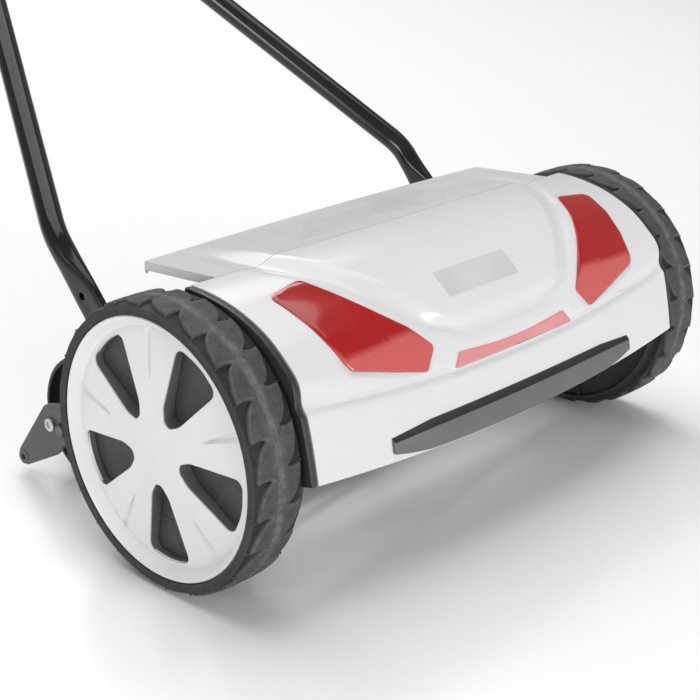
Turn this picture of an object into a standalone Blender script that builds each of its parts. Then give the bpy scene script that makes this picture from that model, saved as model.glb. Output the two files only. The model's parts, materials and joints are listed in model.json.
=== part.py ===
"""Push reel mower: a helical reel driven by the two wheels, under a moulded hood, with a folding handle.

Metres, +Z up, the mower's front towards -Y, its left wheel at -X. The origin is on the ground, in the
middle of the bounding box. Lengths along Y in the constants are measured from the wheel axle, and the
root empty carries the axle's own place.
"""

import math

import bmesh
import bpy
from mathutils import Vector

# Whole machine
AXLE_Y = -0.4111
AXLE_Z = 0.110
GAP = 0.0003

# Wheels
WHEEL_RADIUS = 0.110
TYRE_INNER_X = 0.2232
TYRE_OUTER_X = 0.2670
TYRE_BORE = 0.0995
RIM_RADIUS = 0.0992
RIM_WALL = 0.0050
WEB_INNER_X = 0.2485
WEB_OUTER_X = 0.2525
HUB_RADIUS = 0.0190
BUSH_RADIUS = 0.0115
AXLE_RADIUS = 0.0090
COVER_RADIUS = 0.0991
COVER_LIP_RADIUS = 0.0900
COVER_DISH_X = 0.2600
COVER_THICKNESS = 0.0024
OPENING_COUNT = 5
OPENING_PHASE = math.radians(49.5)
OPENING_HALF_ANGLE = math.radians(15.5)
OPENING_INNER_RADIUS = 0.027
OPENING_OUTER_RADIUS = 0.087
WHEEL_STEPS = 32

# Gear train: internal gear in each wheel, pinions on the reel shaft
GEAR_MODULE = 0.002
RING_TEETH = 48
PINION_TEETH = 12
TOOTH_HALF = 0.0013
TOOTH_ADDENDUM = 0.0018
TOOTH_DEDENDUM = 0.0022
TOOTH_SLOPE = math.tan(math.radians(20))
RING_INNER_X = 0.2262
RING_RIM_RADIUS = 0.0560
PINION_INNER_X = 0.2250
PINION_OUTER_X = 0.2400
GEAR_CENTRES = GEAR_MODULE * (RING_TEETH - PINION_TEETH) / 2
REEL_BEARING_ANGLE = math.radians(-56.3)

# Reel
REEL_Y = GEAR_CENTRES * math.cos(REEL_BEARING_ANGLE)
REEL_Z = AXLE_Z + GEAR_CENTRES * math.sin(REEL_BEARING_ANGLE)
REEL_RADIUS = 0.0570
REEL_HALF_LENGTH = 0.1890
BLADE_COUNT = 5
BLADE_DEPTH = 0.0060
BLADE_HALF_THICKNESS = 0.00125
BLADE_TWIST = math.radians(60)
SHAFT_RADIUS = 0.0050
SHAFT_HALF_LENGTH = 0.2405
SPIDER_X = 0.165
SPIDER_HALF_THICKNESS = 0.0015

# Hood: side profile in two Bezier stretches, skirt then crown, as (y, z)
HOOD_HALF_WIDTH = 0.2160
HOOD_WALL = 0.0025
SKIRT = ((-0.1160, 0.1040), (-0.1115, 0.1325), (-0.1050, 0.1550))
CROWN = ((-0.1050, 0.1550), (-0.0960, 0.1860), (-0.0620, 0.2195), (0.0060, 0.2195))
HOOD_BOW = 0.0100
HOOD_BOW_TOP_Z = 0.2150
HOOD_LOWER_DIP = 0.0080
HOOD_TOP_CROWN = 0.0050
HOOD_SEAM_BOW = 0.0140
HOOD_SEAM_SHIFT = 0.0040
DOME_RISE = 0.0035
DOME_EDGE = 0.0110
DOME_LOW = 1.22
DOME_LOW_HALF = 0.0700
DOME_HIGH_HALF = 0.1566

# Side plates
PLATE_INNER_X = 0.2170
PLATE_OUTER_X = 0.2220
PLATE_RADIUS = 0.1015
PLATE_HOOD_INSET = 0.0030

# Lenses, bumper, deflector, given as half width in x and profile stretch t
LENS_THICKNESS = 0.0012
LENS_LIFT = 0.0006
SIDE_LENS_INNER = (
    (0.1000, 0.958),
    (0.0868, 1.138),
    (0.1104, 1.355),
    (0.1330, 1.556),
    (0.1535, 1.793),
)
SIDE_LENS_OUTER = (
    (0.1300, 1.055),
    (0.1680, 1.158),
    (0.1765, 1.350),
    (0.1826, 1.530),
    (0.1885, 1.745),
)
CENTRE_LENS = ((0.0715, 0.845), (0.0640, 1.02))
BUMPER_HALF = 0.1454
BUMPER_PROUD = 0.0050
BUMPER_CLEAR = 0.0030
BUMPER_END_CLEAR = 0.0035
BUMPER_CREASE_Z = 0.1170
BUMPER_CREASE_FALL = 0.0020
BUMPER_TOP_Z = 0.1202
BUMPER_TOP_FALL = 0.0030
BUMPER_SLANT = 0.0400
DEFLECTOR_HALF = 0.1950
DEFLECTOR_REAR_Y = 0.0870
DEFLECTOR_REAR_Z = 0.2150
DEFLECTOR_WALL = 0.0024
DEFLECTOR_RIM = 0.0070

# Fastenings through the side plates, as (y, z)
HANDLE_PIVOT = (0.0850, 0.1020)
ARM_PIVOT = (0.0700, 0.0550)
KNIFE_BOLT = (0.0470, 0.0450)
TIE_ROD = (-0.0700, 0.1500)
TIE_ROD_RADIUS = 0.0060

# Bed knife
KNIFE_FRONT_Y = 0.0335
KNIFE_REAR_Y = 0.0640
KNIFE_TOP_Z = 0.0240
KNIFE_THICKNESS = 0.0030
KNIFE_HALF_LENGTH = 0.1900
CARRIER_FRONT_Y = 0.0380
CARRIER_REAR_Y = 0.0580
CARRIER_BOTTOM_Z = 0.0125
CARRIER_TOP_Z = 0.0207
CARRIER_EAR_X = (0.2040, 0.2085)
CARRIER_EAR_TOP_Z = 0.0530

# Rear roller and its brackets
ROLLER = (0.1800, 0.0550)
ROLLER_RADIUS = 0.0550
ROLLER_WALL = 0.0040
ROLLER_WEB_INSET = 0.0100
ROLLER_HALF_LENGTH = 0.1900
ROLLER_AXLE_RADIUS = 0.0050
ARM_X = (0.2100, 0.2150)
BRACKET_SCREW = (0.1940, 0.0560)
BRACKET_HOLE = (0.2375, 0.0130)
BRACKET_HOLE_RADIUS = 0.0026
TAB_PAD_RADIUS = 0.0080
TAB_PAD_RISE = 0.0006
BRACKET_OUTLINE = (
    (0.0600, 0.0440),
    (0.1480, 0.0420),
    (0.1755, 0.0440),
    (0.1925, 0.0280),
    (0.2350, 0.0055),
    (0.2460, 0.0150),
    (0.2025, 0.0710),
    (0.1800, 0.0775),
    (0.1480, 0.0760),
    (0.0600, 0.0660),
)

# Handle
TUBE_RADIUS = 0.0100
FLAT_HALF_THICKNESS = 0.0040
FLAT_HALF_WIDTH = 0.0145
HANDLE_X = 0.2030
HANDLE_END = (0.0757, 0.0916)
HANDLE_BEND = (0.1880, 0.2170)
NECK_X = 0.1012
NECK = (0.4030, 0.3812)
UPPER_SLOPE = math.radians(48)
FOLD_DISTANCE = 0.300
LOWER_TUBE_END = 0.335
LOOP_X = 0.1218
LOOP_START = 0.265
LOOP_FLARE = (0.360, 0.520)
LOOP_HALF_WIDTH = 0.2000
LOOP_END = 0.800
LOOP_CORNER = 0.060
BEND_RADIUS = 0.060
FOAM_HALF_LENGTH = 0.1280
FOAM_RADIUS = 0.0150
KNOB_X = (0.1325, 0.1475)

SIDES = (("left", -1), ("right", 1))

WHITE = ((0.82, 0.82, 0.82), 0.25, 0.0)
OFF_WHITE = ((0.74, 0.74, 0.73), 0.45, 0.0)
BLACK_PLASTIC = ((0.022, 0.022, 0.023), 0.45, 0.0)
GREY_PLASTIC = ((0.060, 0.058, 0.060), 0.50, 0.0)
BUMPER_GREY = ((0.055, 0.055, 0.058), 0.50, 0.0)
RUBBER = ((0.045, 0.043, 0.042), 0.85, 0.0)
RED = ((0.55, 0.010, 0.010), 0.15, 0.0)
PINK = ((0.72, 0.20, 0.20), 0.20, 0.0)
GLOSS_BLACK = ((0.012, 0.012, 0.013), 0.25, 0.0)
STEEL = ((0.56, 0.56, 0.58), 0.32, 1.0)
DARK_STEEL = ((0.20, 0.20, 0.21), 0.40, 1.0)
BRONZE = ((0.48, 0.30, 0.14), 0.40, 1.0)
FOAM = ((0.020, 0.020, 0.021), 0.95, 0.0)


def clear_scene():
    for obj in list(bpy.data.objects):
        bpy.data.objects.remove(obj, do_unlink=True)


def make_collection(name, hidden=False):
    collection = bpy.data.collections.new(name)
    bpy.context.scene.collection.children.link(collection)
    collection.hide_render = hidden
    return collection


clear_scene()
MOWER = make_collection("reel_mower")
CUTTERS = make_collection("cutters", hidden=True)


def material(name, look):
    colour, roughness, metallic = look
    made = bpy.data.materials.new(name)
    made.use_nodes = True
    shader = made.node_tree.nodes["Principled BSDF"]
    shader.inputs["Base Color"].default_value = (*colour, 1.0)
    shader.inputs["Roughness"].default_value = roughness
    shader.inputs["Metallic"].default_value = metallic
    made.diffuse_color = (*colour, 1.0)
    return made


def empty(name, place, parent=None):
    made = bpy.data.objects.new(name, None)
    made.empty_display_size = 0.03
    made.location = place
    made.parent = parent
    MOWER.objects.link(made)
    return made


ROOT = empty("mower_root", (0, AXLE_Y, 0))


def joint(name, y, z, parent=None, x=0.0):
    """An empty on a joint's axis. Its place is measured from the wheel axle's plane."""
    made = empty(name, (x, y, z), ROOT)
    if parent is not None:
        made.parent = parent
        made.location = Vector((x, y, z)) - place_of(parent)
    return made


def place_of(holder):
    """Where a joint's empty is, measured from the root."""
    total = Vector((0, 0, 0))
    while holder is not None and holder is not ROOT:
        total += holder.location
        holder = holder.parent
    return total


def finish(obj, look, holder=None):
    """Gives the object its material and hangs it on its joint's empty, without moving its shape."""
    obj.data.materials.clear()
    obj.data.materials.append(material(obj.name, look))
    holder = holder or ROOT
    obj.parent = holder
    obj.location = obj.location - place_of(holder)
    return obj


def mesh_object(name, bm, collection=None):
    bmesh.ops.recalc_face_normals(bm, faces=bm.faces)
    mesh = bpy.data.meshes.new(name)
    bm.to_mesh(mesh)
    bm.free()
    mesh.shade_smooth()
    mesh.set_sharp_from_angle(angle=math.radians(35))
    made = bpy.data.objects.new(name, mesh)
    (collection or MOWER).objects.link(made)
    return made


def turned(name, profile, centre, steps, closed=True, collection=None):
    """A ring or a shaft about the X direction. The profile lists (x, radius); an open one starts and ends at radius 0."""
    mesh = bpy.data.meshes.new(name)
    points = [(x, 0.0, radius) for x, radius in profile]
    edges = [(i, i + 1) for i in range(len(points) - 1)]
    if closed:
        edges.append((len(points) - 1, 0))
    mesh.from_pydata(points, edges, [])
    made = bpy.data.objects.new(name, mesh)
    (collection or MOWER).objects.link(made)
    made.location = (0, centre[0], centre[1])
    screw = made.modifiers.new("turn", "SCREW")
    screw.axis = "X"
    screw.steps = steps
    screw.render_steps = steps
    screw.use_merge_vertices = True
    screw.merge_threshold = 0.00001
    screw.use_smooth_shade = True
    doubled_area = sum(
        a[0] * b[1] - b[0] * a[1] for a, b in zip(profile, profile[1:] + profile[:1])
    )
    screw.use_normal_flip = doubled_area < 0
    return made


def cylinder(name, start_x, end_x, centre, radius, steps=24, collection=None):
    low, high = min(start_x, end_x), max(start_x, end_x)
    profile = [(low, 0), (low, radius), (high, radius), (high, 0)]
    return turned(name, profile, centre, steps, closed=False, collection=collection)


def outline_plate(name, outlines, x_range, side):
    """Closed outlines in (y, z), the first the rim and the others holes, extruded between two distances from the middle."""
    curve = bpy.data.curves.new(name, "CURVE")
    curve.dimensions = "2D"
    curve.fill_mode = "BOTH"
    curve.extrude = (x_range[1] - x_range[0]) / 2
    for outline in outlines:
        spline = curve.splines.new("POLY")
        spline.points.add(len(outline) - 1)
        for point, (y, z) in zip(spline.points, outline):
            point.co = (y, z, 0, 1)
        spline.use_cyclic_u = True
    made = bpy.data.objects.new(name, curve)
    MOWER.objects.link(made)
    made.rotation_euler = (math.pi / 2, 0, math.pi / 2)
    made.location = (side * (x_range[0] + x_range[1]) / 2, 0, 0)
    return made


def as_mesh(obj):
    """The same object with its curve or modifiers made into a welded mesh, so that it can be cut and joined."""
    bpy.context.view_layer.update()
    graph = bpy.context.evaluated_depsgraph_get()
    mesh = bpy.data.meshes.new_from_object(obj.evaluated_get(graph))
    bm = bmesh.new()
    bm.from_mesh(mesh)
    bmesh.ops.remove_doubles(bm, verts=bm.verts, dist=0.000005)
    bmesh.ops.transform(bm, matrix=obj.matrix_world, verts=bm.verts)
    name = obj.name
    collection = obj.users_collection[0]
    bpy.data.objects.remove(obj, do_unlink=True)
    return mesh_object(name, bm, collection)


def combine(obj, other, operation, solver="EXACT"):
    """A Boolean with a cutter object, which is kept out of the model."""
    if other.users_collection[0] is not CUTTERS:
        other.users_collection[0].objects.unlink(other)
        CUTTERS.objects.link(other)
    other.hide_render = True
    other.display_type = "WIRE"
    step = obj.modifiers.new(other.name, "BOOLEAN")
    step.operation = operation
    step.solver = solver
    step.object = other
    other.parent = ROOT
    return obj


def circle(centre, radius, count):
    """Points round a circle in (y, z)."""
    turn = 2 * math.pi / count
    return [
        (centre[0] + radius * math.cos(i * turn), centre[1] + radius * math.sin(i * turn))
        for i in range(count)
    ]


def bezier(points, t):
    """A point of the Bezier curve with these control points."""
    while len(points) > 1:
        points = [
            tuple(p + (q - p) * t for p, q in zip(a, b)) for a, b in zip(points, points[1:])
        ]
    return points[0]


def smooth(value):
    value = min(1.0, max(0.0, value))
    return value * value * (3 - 2 * value)


def blend_at(stops, key):
    """Straight-line interpolation in a short list of (value, key) pairs, sorted by key."""
    for (a, low), (b, high) in zip(stops, stops[1:]):
        if key <= high:
            return a + (b - a) * (key - low) / (high - low)
    return stops[-1][0]


def hood_side(t):
    """The hood's side profile as (y, z): t from 0 to 1 up the skirt, and from 1 to 2 over the crown."""
    return bezier(SKIRT, t) if t < 1 else bezier(CROWN, t - 1)


def dome_rise(x, t):
    """How far the bonnet panel stands above the hood: it widens from its low edge to the seam."""
    if t <= DOME_LOW:
        return 0.0
    along = (t - DOME_LOW) / (2 - DOME_LOW)
    half = DOME_LOW_HALF + (DOME_HIGH_HALF - DOME_LOW_HALF) * along
    crown_length = 0.13
    distance = min(half - abs(x), (t - DOME_LOW) * crown_length)
    return DOME_RISE * smooth(distance / DOME_EDGE)


def hood_base(x, t):
    y, z = hood_side(t)
    middle = 1 - (x / HOOD_HALF_WIDTH) ** 2
    fall = max(0.0, min(1.0, (HOOD_BOW_TOP_Z - z) / (HOOD_BOW_TOP_Z - SKIRT[0][1])))
    y -= HOOD_BOW * math.sqrt(fall) * middle
    z -= HOOD_LOWER_DIP * middle * max(0.0, 1 - t) ** 2
    z += HOOD_TOP_CROWN * middle * smooth(t - 1)
    y += (HOOD_SEAM_SHIFT - HOOD_SEAM_BOW * middle) * smooth((t - 1.4) / 0.6)
    return Vector((x, y, z + dome_rise(x, t)))


def hood_point(x, t, lift=0.0):
    """A point on the hood's outer face, or that far outside it."""
    point = hood_base(x, t)
    if not lift:
        return point
    step = 0.01
    along_t = hood_base(x, min(t + step, 2.0)) - hood_base(x, max(t - step, 0.0))
    along_x = hood_base(x + step, t) - hood_base(x - step, t)
    return point + along_x.cross(along_t).normalized() * lift


def sheet(name, rows, thickness, offset):
    """A grid of points with an even wall. The first side of the grid faces out."""
    bm = bmesh.new()
    grid = [[bm.verts.new(point) for point in row] for row in rows]
    for low, high in zip(grid, grid[1:]):
        for i in range(len(low) - 1):
            bm.faces.new((low[i], low[i + 1], high[i + 1], high[i]))
    mesh = bpy.data.meshes.new(name)
    bm.normal_update()
    bm.to_mesh(mesh)
    bm.free()
    mesh.shade_smooth()
    mesh.set_sharp_from_angle(angle=math.radians(35))
    made = bpy.data.objects.new(name, mesh)
    MOWER.objects.link(made)
    wall = made.modifiers.new("wall", "SOLIDIFY")
    wall.thickness = thickness
    wall.offset = offset
    wall.use_even_offset = True
    return made


def spread(low, high, count):
    return [low + (high - low) * i / (count - 1) for i in range(count)]


def loft(name, rings, collection=None):
    """A closed solid through rings of equally many points, with flat ends."""
    bm = bmesh.new()
    made = [[bm.verts.new(point) for point in ring] for ring in rings]
    for low, high in zip(made, made[1:]):
        for i in range(len(low)):
            j = (i + 1) % len(low)
            bm.faces.new((low[i], low[j], high[j], high[i]))
    bm.faces.new(reversed(made[0]))
    bm.faces.new(made[-1])
    return mesh_object(name, bm, collection)


def box(name, low, high, collection=None):
    bm = bmesh.new()
    bmesh.ops.create_cube(bm, size=1)
    for vert in bm.verts:
        vert.co = [a if c < 0 else b for a, b, c in zip(low, high, vert.co)]
    return mesh_object(name, bm, collection)


def side_box(name, x_range, y_range, z_range, side, collection=None):
    xs = sorted(side * x for x in x_range)
    return box(name, (xs[0], y_range[0], z_range[0]), (xs[1], y_range[1], z_range[1]), collection)


def flipped(profile, side):
    """A profile of (distance from the middle, radius) as (x, radius) on one side."""
    return [(side * x, radius) for x, radius in profile]


# ---- chassis ----


def plate_outline():
    """The disc inside the wheel, grown at the front and top to follow just inside the hood's edge."""
    centre = Vector((0, AXLE_Z))
    hooded = []
    for t in spread(0.0, 1.94, 14):
        reach = Vector(hood_side(t)) - centre
        hooded.append(centre + reach * (1 - PLATE_HOOD_INSET / reach.length))
    start = math.atan2(hooded[-1].y - AXLE_Z, hooded[-1].x)
    end = math.atan2(hooded[0].y - AXLE_Z, hooded[0].x) - (2 * math.pi if hooded[0].y > AXLE_Z else 0)
    arc = [
        centre + PLATE_RADIUS * Vector((math.cos(angle), math.sin(angle)))
        for angle in spread(start, end, 24)
    ]
    return [tuple(point) for point in hooded + arc]


def side_plate(label, side):
    """A moulded end plate with the bosses that carry the reel, the handle, the roller arm and the bed knife."""
    name = f"side_plate_{label}"
    plate = as_mesh(outline_plate(name, [plate_outline()], (PLATE_INNER_X, PLATE_OUTER_X), side))
    overlap = PLATE_INNER_X + 0.001
    reel = (REEL_Y, REEL_Z)
    bosses = (
        ("reel", 0.1965, reel, 0.0200, 20),
        ("handle", 0.2078, HANDLE_PIVOT, 0.0110, 14),
        ("arm", 0.2153, ARM_PIVOT, 0.0090, 12),
        ("knife", 0.2090, KNIFE_BOLT, 0.0080, 12),
        ("rod", 0.2050, TIE_ROD, 0.0110, 14),
    )
    for key, inner, centre, radius, steps in bosses:
        boss = cylinder(f"{name}_{key}_boss", side * inner, side * overlap, centre, radius, steps)
        combine(plate, boss, "UNION", "MANIFOLD")
    through = PLATE_OUTER_X + 0.001
    holes = (
        ("bearing", 0.1955, 0.2130, reel, 0.0114, 18),
        ("shaft", 0.2120, through, reel, 0.0060, 12),
        ("axle", 0.2160, through, (0, AXLE_Z), 0.0094, 18),
        ("handle", 0.2070, 0.2155, HANDLE_PIVOT, 0.0044, 10),
        ("arm", 0.2145, 0.2208, ARM_PIVOT, 0.0044, 10),
        ("knife", 0.2080, 0.2155, KNIFE_BOLT, 0.0034, 10),
        ("rod", 0.2040, 0.2165, TIE_ROD, 0.0064, 12),
    )
    for key, inner, outer, centre, radius, steps in holes:
        hole = cylinder(f"{name}_{key}_hole", side * inner, side * outer, centre, radius, steps, CUTTERS)
        combine(plate, hole, "DIFFERENCE", "MANIFOLD")
    return finish(plate, BLACK_PLASTIC)


def hood():
    rows = [
        [hood_point(x, t) for x in spread(-HOOD_HALF_WIDTH, HOOD_HALF_WIDTH, 19)]
        for t in spread(0.0, 2.0, 15)
    ]
    return finish(sheet("hood", rows, HOOD_WALL, -1), WHITE)


def lens(name, inner, outer, look, rows=9, columns=5):
    """A thin panel that follows the hood's face between two edges, each a list of (x, t)."""
    grid = []
    for v in spread(0.0, 1.0, rows):
        stops = spread(0.0, 1.0, len(inner))
        edges = []
        for edge in (inner, outer):
            x = blend_at([(point[0], stop) for point, stop in zip(edge, stops)], v)
            t = blend_at([(point[1], stop) for point, stop in zip(edge, stops)], v)
            edges.append((x, t))
        if edges[0][0] > edges[1][0]:
            edges.reverse()
        xs = spread(edges[0][0], edges[1][0], columns)
        ts = spread(edges[0][1], edges[1][1], columns)
        grid.append([hood_point(x, t, LENS_LIFT) for x, t in zip(xs, ts)])
    return finish(sheet(name, grid, LENS_THICKNESS, 1), look)


def lenses():
    for label, side in SIDES:
        inner = [(side * x, t) for x, t in SIDE_LENS_INNER]
        outer = [(side * x, t) for x, t in SIDE_LENS_OUTER]
        lens(f"red_lens_{label}", inner, outer, RED)
    left = [(-x, t) for x, t in CENTRE_LENS]
    lens("centre_lens", left, list(CENTRE_LENS), PINK, rows=4, columns=9)


def skirt_stretch(x, z):
    """The profile stretch t at which the skirt reaches a height."""
    return blend_at([(i / 20, hood_point(x, i / 20).z) for i in range(15)], z)


def bumper():
    """A bar along the skirt's lower edge, with an upright face, a sloping top and slanted ends."""
    rings = []
    for x in spread(-BUMPER_HALF, BUMPER_HALF, 15):
        slant = min(1.0, (BUMPER_HALF - abs(x)) / BUMPER_SLANT)
        low = hood_point(x, 0.0).z + BUMPER_CLEAR + BUMPER_END_CLEAR * (1 - slant) ** 2
        proud = BUMPER_PROUD * (0.5 + 0.5 * slant)
        crease = BUMPER_CREASE_Z - BUMPER_CREASE_FALL * (1 - slant)
        top = BUMPER_TOP_Z - BUMPER_TOP_FALL * (1 - slant)
        section = ((0, low), (proud, low), (proud, crease), (0, top))
        ring = []
        for stand_off, z in section:
            skirt = hood_point(x, skirt_stretch(x, z))
            ring.append((x, skirt.y - 2 * GAP - stand_off, z))
        rings.append(ring)
    return finish(loft("front_bumper", rings), BUMPER_GREY)


def deflector():
    """The plate behind the hood's seam, with turned-down side and rear edges."""
    xs = spread(-DEFLECTOR_HALF, DEFLECTOR_HALF, 13)
    rows = []
    for v in (1.0, 1.0, 0.66, 0.33, 0.0):
        row = []
        for x in xs:
            front = hood_point(x, 2.0)
            rear_z = DEFLECTOR_REAR_Z + 0.002 * (1 - (x / DEFLECTOR_HALF) ** 2)
            y = front.y + 2 * GAP + (DEFLECTOR_REAR_Y - front.y) * v
            row.append(Vector((x, y, front.z + (rear_z - front.z) * v)))
        rows.append([row[0] - Vector((0, 0, DEFLECTOR_RIM)), *row, row[-1] - Vector((0, 0, DEFLECTOR_RIM))])
    rows[0] = [Vector((p.x, p.y, DEFLECTOR_REAR_Z - DEFLECTOR_RIM)) for p in rows[0]]
    rows.reverse()
    return finish(sheet("rear_deflector", rows, DEFLECTOR_WALL, -1), WHITE)


def rod_and_knife():
    rod = cylinder("tie_rod", -0.2161, 0.2161, TIE_ROD, TIE_ROD_RADIUS, 12)
    finish(rod, DARK_STEEL)
    section = (
        (KNIFE_FRONT_Y, KNIFE_TOP_Z),
        (KNIFE_REAR_Y, KNIFE_TOP_Z),
        (KNIFE_REAR_Y, KNIFE_TOP_Z - KNIFE_THICKNESS),
        (KNIFE_FRONT_Y + 0.002, KNIFE_TOP_Z - KNIFE_THICKNESS),
    )
    ends = [[(x, y, z) for y, z in section] for x in (-KNIFE_HALF_LENGTH, KNIFE_HALF_LENGTH)]
    finish(loft("bed_knife", ends), STEEL)
    carrier = box(
        "bed_knife_carrier",
        (-CARRIER_EAR_X[1], CARRIER_FRONT_Y, CARRIER_BOTTOM_Z),
        (CARRIER_EAR_X[1], CARRIER_REAR_Y, CARRIER_TOP_Z),
    )
    for label, side in SIDES:
        ear = side_box(
            f"carrier_ear_{label}",
            CARRIER_EAR_X,
            (CARRIER_FRONT_Y, CARRIER_REAR_Y),
            (CARRIER_BOTTOM_Z, CARRIER_EAR_TOP_Z),
            side,
        )
        combine(carrier, ear, "UNION")
        hole = cylinder(
            f"carrier_hole_{label}", side * 0.200, side * 0.212, KNIFE_BOLT, 0.0033, 12, CUTTERS
        )
        combine(carrier, hole, "DIFFERENCE")
    finish(carrier, DARK_STEEL)


def chassis_hardware(label, side):
    """Bearing, stub axle with its ring, and the knife, handle and arm screws of one side plate."""
    bearing = [(0.1980, 0.0053), (0.1980, 0.0110), (0.2126, 0.0110), (0.2126, 0.0053)]
    made = turned(f"shaft_bearing_{label}", flipped(bearing, side), (REEL_Y, REEL_Z), 18)
    finish(made, STEEL)
    axle = [
        (0.2135, 0),
        (0.2135, 0.0140),
        (0.2166, 0.0140),
        (0.2166, AXLE_RADIUS),
        (0.2585, AXLE_RADIUS),
        (0.2585, 0.0078),
        (0.2600, 0.0078),
        (0.2600, AXLE_RADIUS),
        (0.2615, AXLE_RADIUS),
        (0.2620, 0.0085),
        (0.2620, 0),
    ]
    made = turned(f"stub_axle_{label}", flipped(axle, side), (0, AXLE_Z), 18, closed=False)
    finish(made, STEEL)
    ring = [(0.25885, 0.0081), (0.25885, 0.0130), (0.25970, 0.0130), (0.25970, 0.0081)]
    finish(turned(f"retaining_ring_{label}", flipped(ring, side), (0, AXLE_Z), 18), DARK_STEEL)
    screws = (
        ("knife_screw", KNIFE_BOLT, (0.2005, 0.2036), 0.2150, 0.0030, 0.0055, STEEL),
        ("handle_bolt", HANDLE_PIVOT, (0.1945, 0.1986), 0.2150, 0.0040, 0.0075, STEEL),
        ("arm_screw", ARM_PIVOT, (0.2060, 0.2096), 0.2204, 0.0040, 0.0065, STEEL),
    )
    for key, centre, head, end, shank_radius, head_radius, look in screws:
        profile = [
            (head[0], 0),
            (head[0], head_radius * 0.8),
            (head[0] + 0.0012, head_radius),
            (head[1], head_radius),
            (head[1], shank_radius),
            (end, shank_radius),
            (end, 0),
        ]
        made = turned(f"{key}_{label}", flipped(profile, side), centre, 10, closed=False)
        finish(made, look)


# ---- wheels ----


def tyre(label, side, holder):
    shoulder = WHEEL_RADIUS - 0.0032
    middle = (TYRE_OUTER_X + TYRE_INNER_X) / 2
    profile = [
        (TYRE_INNER_X, TYRE_BORE),
        (TYRE_INNER_X, shoulder),
        (TYRE_INNER_X + 0.0030, WHEEL_RADIUS - 0.0010),
        (middle, WHEEL_RADIUS),
        (TYRE_OUTER_X - 0.0030, WHEEL_RADIUS - 0.0010),
        (TYRE_OUTER_X, shoulder),
        (TYRE_OUTER_X, TYRE_BORE),
    ]
    made = turned(f"tyre_{label}", flipped(profile, side), (0, AXLE_Z), WHEEL_STEPS)
    finish(made, RUBBER, holder)


def rim(label, side, holder):
    barrel_end = 0.2636
    hub_inner = 0.2390
    hub_outer = 0.2580
    profile = [
        (TYRE_INNER_X + GAP, RIM_RADIUS),
        (barrel_end, RIM_RADIUS),
        (barrel_end, RIM_RADIUS - RIM_WALL),
        (WEB_OUTER_X, RIM_RADIUS - RIM_WALL),
        (WEB_OUTER_X, HUB_RADIUS),
        (hub_outer, HUB_RADIUS),
        (hub_outer, BUSH_RADIUS + GAP),
        (hub_inner, BUSH_RADIUS + GAP),
        (hub_inner, HUB_RADIUS),
        (WEB_INNER_X, HUB_RADIUS),
        (WEB_INNER_X, RIM_RADIUS - RIM_WALL),
        (TYRE_INNER_X + GAP, RIM_RADIUS - RIM_WALL),
    ]
    made = turned(f"rim_{label}", flipped(profile, side), (0, AXLE_Z), WHEEL_STEPS)
    finish(made, BLACK_PLASTIC, holder)


def opening_outline(centre_angle):
    """One wheel cover opening: a sector between two radii, with its four corners rounded."""
    middle = (OPENING_INNER_RADIUS + OPENING_OUTER_RADIUS) / 2
    reach = (OPENING_OUTER_RADIUS - OPENING_INNER_RADIUS) / 2
    points = []
    for i in range(16):
        angle = 2 * math.pi * i / 16
        wide = math.copysign(abs(math.sin(angle)) ** 0.45, math.sin(angle))
        far = math.copysign(abs(math.cos(angle)) ** 0.45, math.cos(angle))
        radius = middle + reach * far
        half = OPENING_HALF_ANGLE * min(1.0, 0.62 + 0.38 * (radius - OPENING_INNER_RADIUS) / 0.012)
        turn = centre_angle + half * wide
        points.append((radius * math.cos(turn), AXLE_Z + radius * math.sin(turn)))
    return points


def wheel_cover(label, side, holder):
    """A dished disc with five openings and a flat hub, closed towards the rim by a sloping lip."""
    lip_x = 0.2663
    hub_x = 0.2640
    back = COVER_THICKNESS
    profile = [
        (hub_x, 0),
        (hub_x, 0.022),
        (COVER_DISH_X, COVER_LIP_RADIUS),
        (lip_x, COVER_RADIUS - 0.0012),
        (lip_x - 0.0006, COVER_RADIUS),
        (hub_x, COVER_RADIUS),
        (hub_x, 0.0942),
        (COVER_DISH_X - back, COVER_LIP_RADIUS),
        (COVER_DISH_X - back, 0.070),
        (0.26235, 0.022),
        (0.26235, 0),
    ]
    profile = flipped(profile, side)
    cover = as_mesh(turned(f"wheel_cover_{label}", profile, (0, AXLE_Z), WHEEL_STEPS, closed=False))
    for i in range(OPENING_COUNT):
        angle = OPENING_PHASE + 2 * math.pi * i / OPENING_COUNT
        outline = opening_outline(angle)
        rings = [[(side * x, y, z) for y, z in outline] for x in (0.2530, 0.2700)]
        hole = loft(f"cover_opening_{label}_{i + 1}", rings, CUTTERS)
        combine(cover, hole, "DIFFERENCE")
    finish(cover, OFF_WHITE, holder)


def tooth_points(centre, teeth, phase, internal):
    """A gear's toothed outline: straight flanks, in (y, z)."""
    pitch = GEAR_MODULE * teeth / 2
    outward = -1 if internal else 1
    levels = ((-TOOTH_DEDENDUM, 1), (TOOTH_ADDENDUM, 1), (TOOTH_ADDENDUM, -1), (-TOOTH_DEDENDUM, -1))
    points = []
    for i in range(teeth):
        tooth = phase + 2 * math.pi * i / teeth
        for level, flank in levels:
            radius = pitch + outward * level
            half = TOOTH_HALF - level * TOOTH_SLOPE
            turn = tooth - flank * half / radius
            points.append((centre[0] + radius * math.cos(turn), centre[1] + radius * math.sin(turn)))
    return points


def ring_gear(label, side, holder):
    phase = REEL_BEARING_ANGLE + math.pi / RING_TEETH
    teeth = tooth_points((0, AXLE_Z), RING_TEETH, phase, True)
    rim_circle = circle((0, AXLE_Z), RING_RIM_RADIUS, WHEEL_STEPS)
    made = outline_plate(
        f"ring_gear_{label}", [rim_circle, teeth], (RING_INNER_X, WEB_INNER_X - GAP), side
    )
    finish(made, GREY_PLASTIC, holder)


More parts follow.
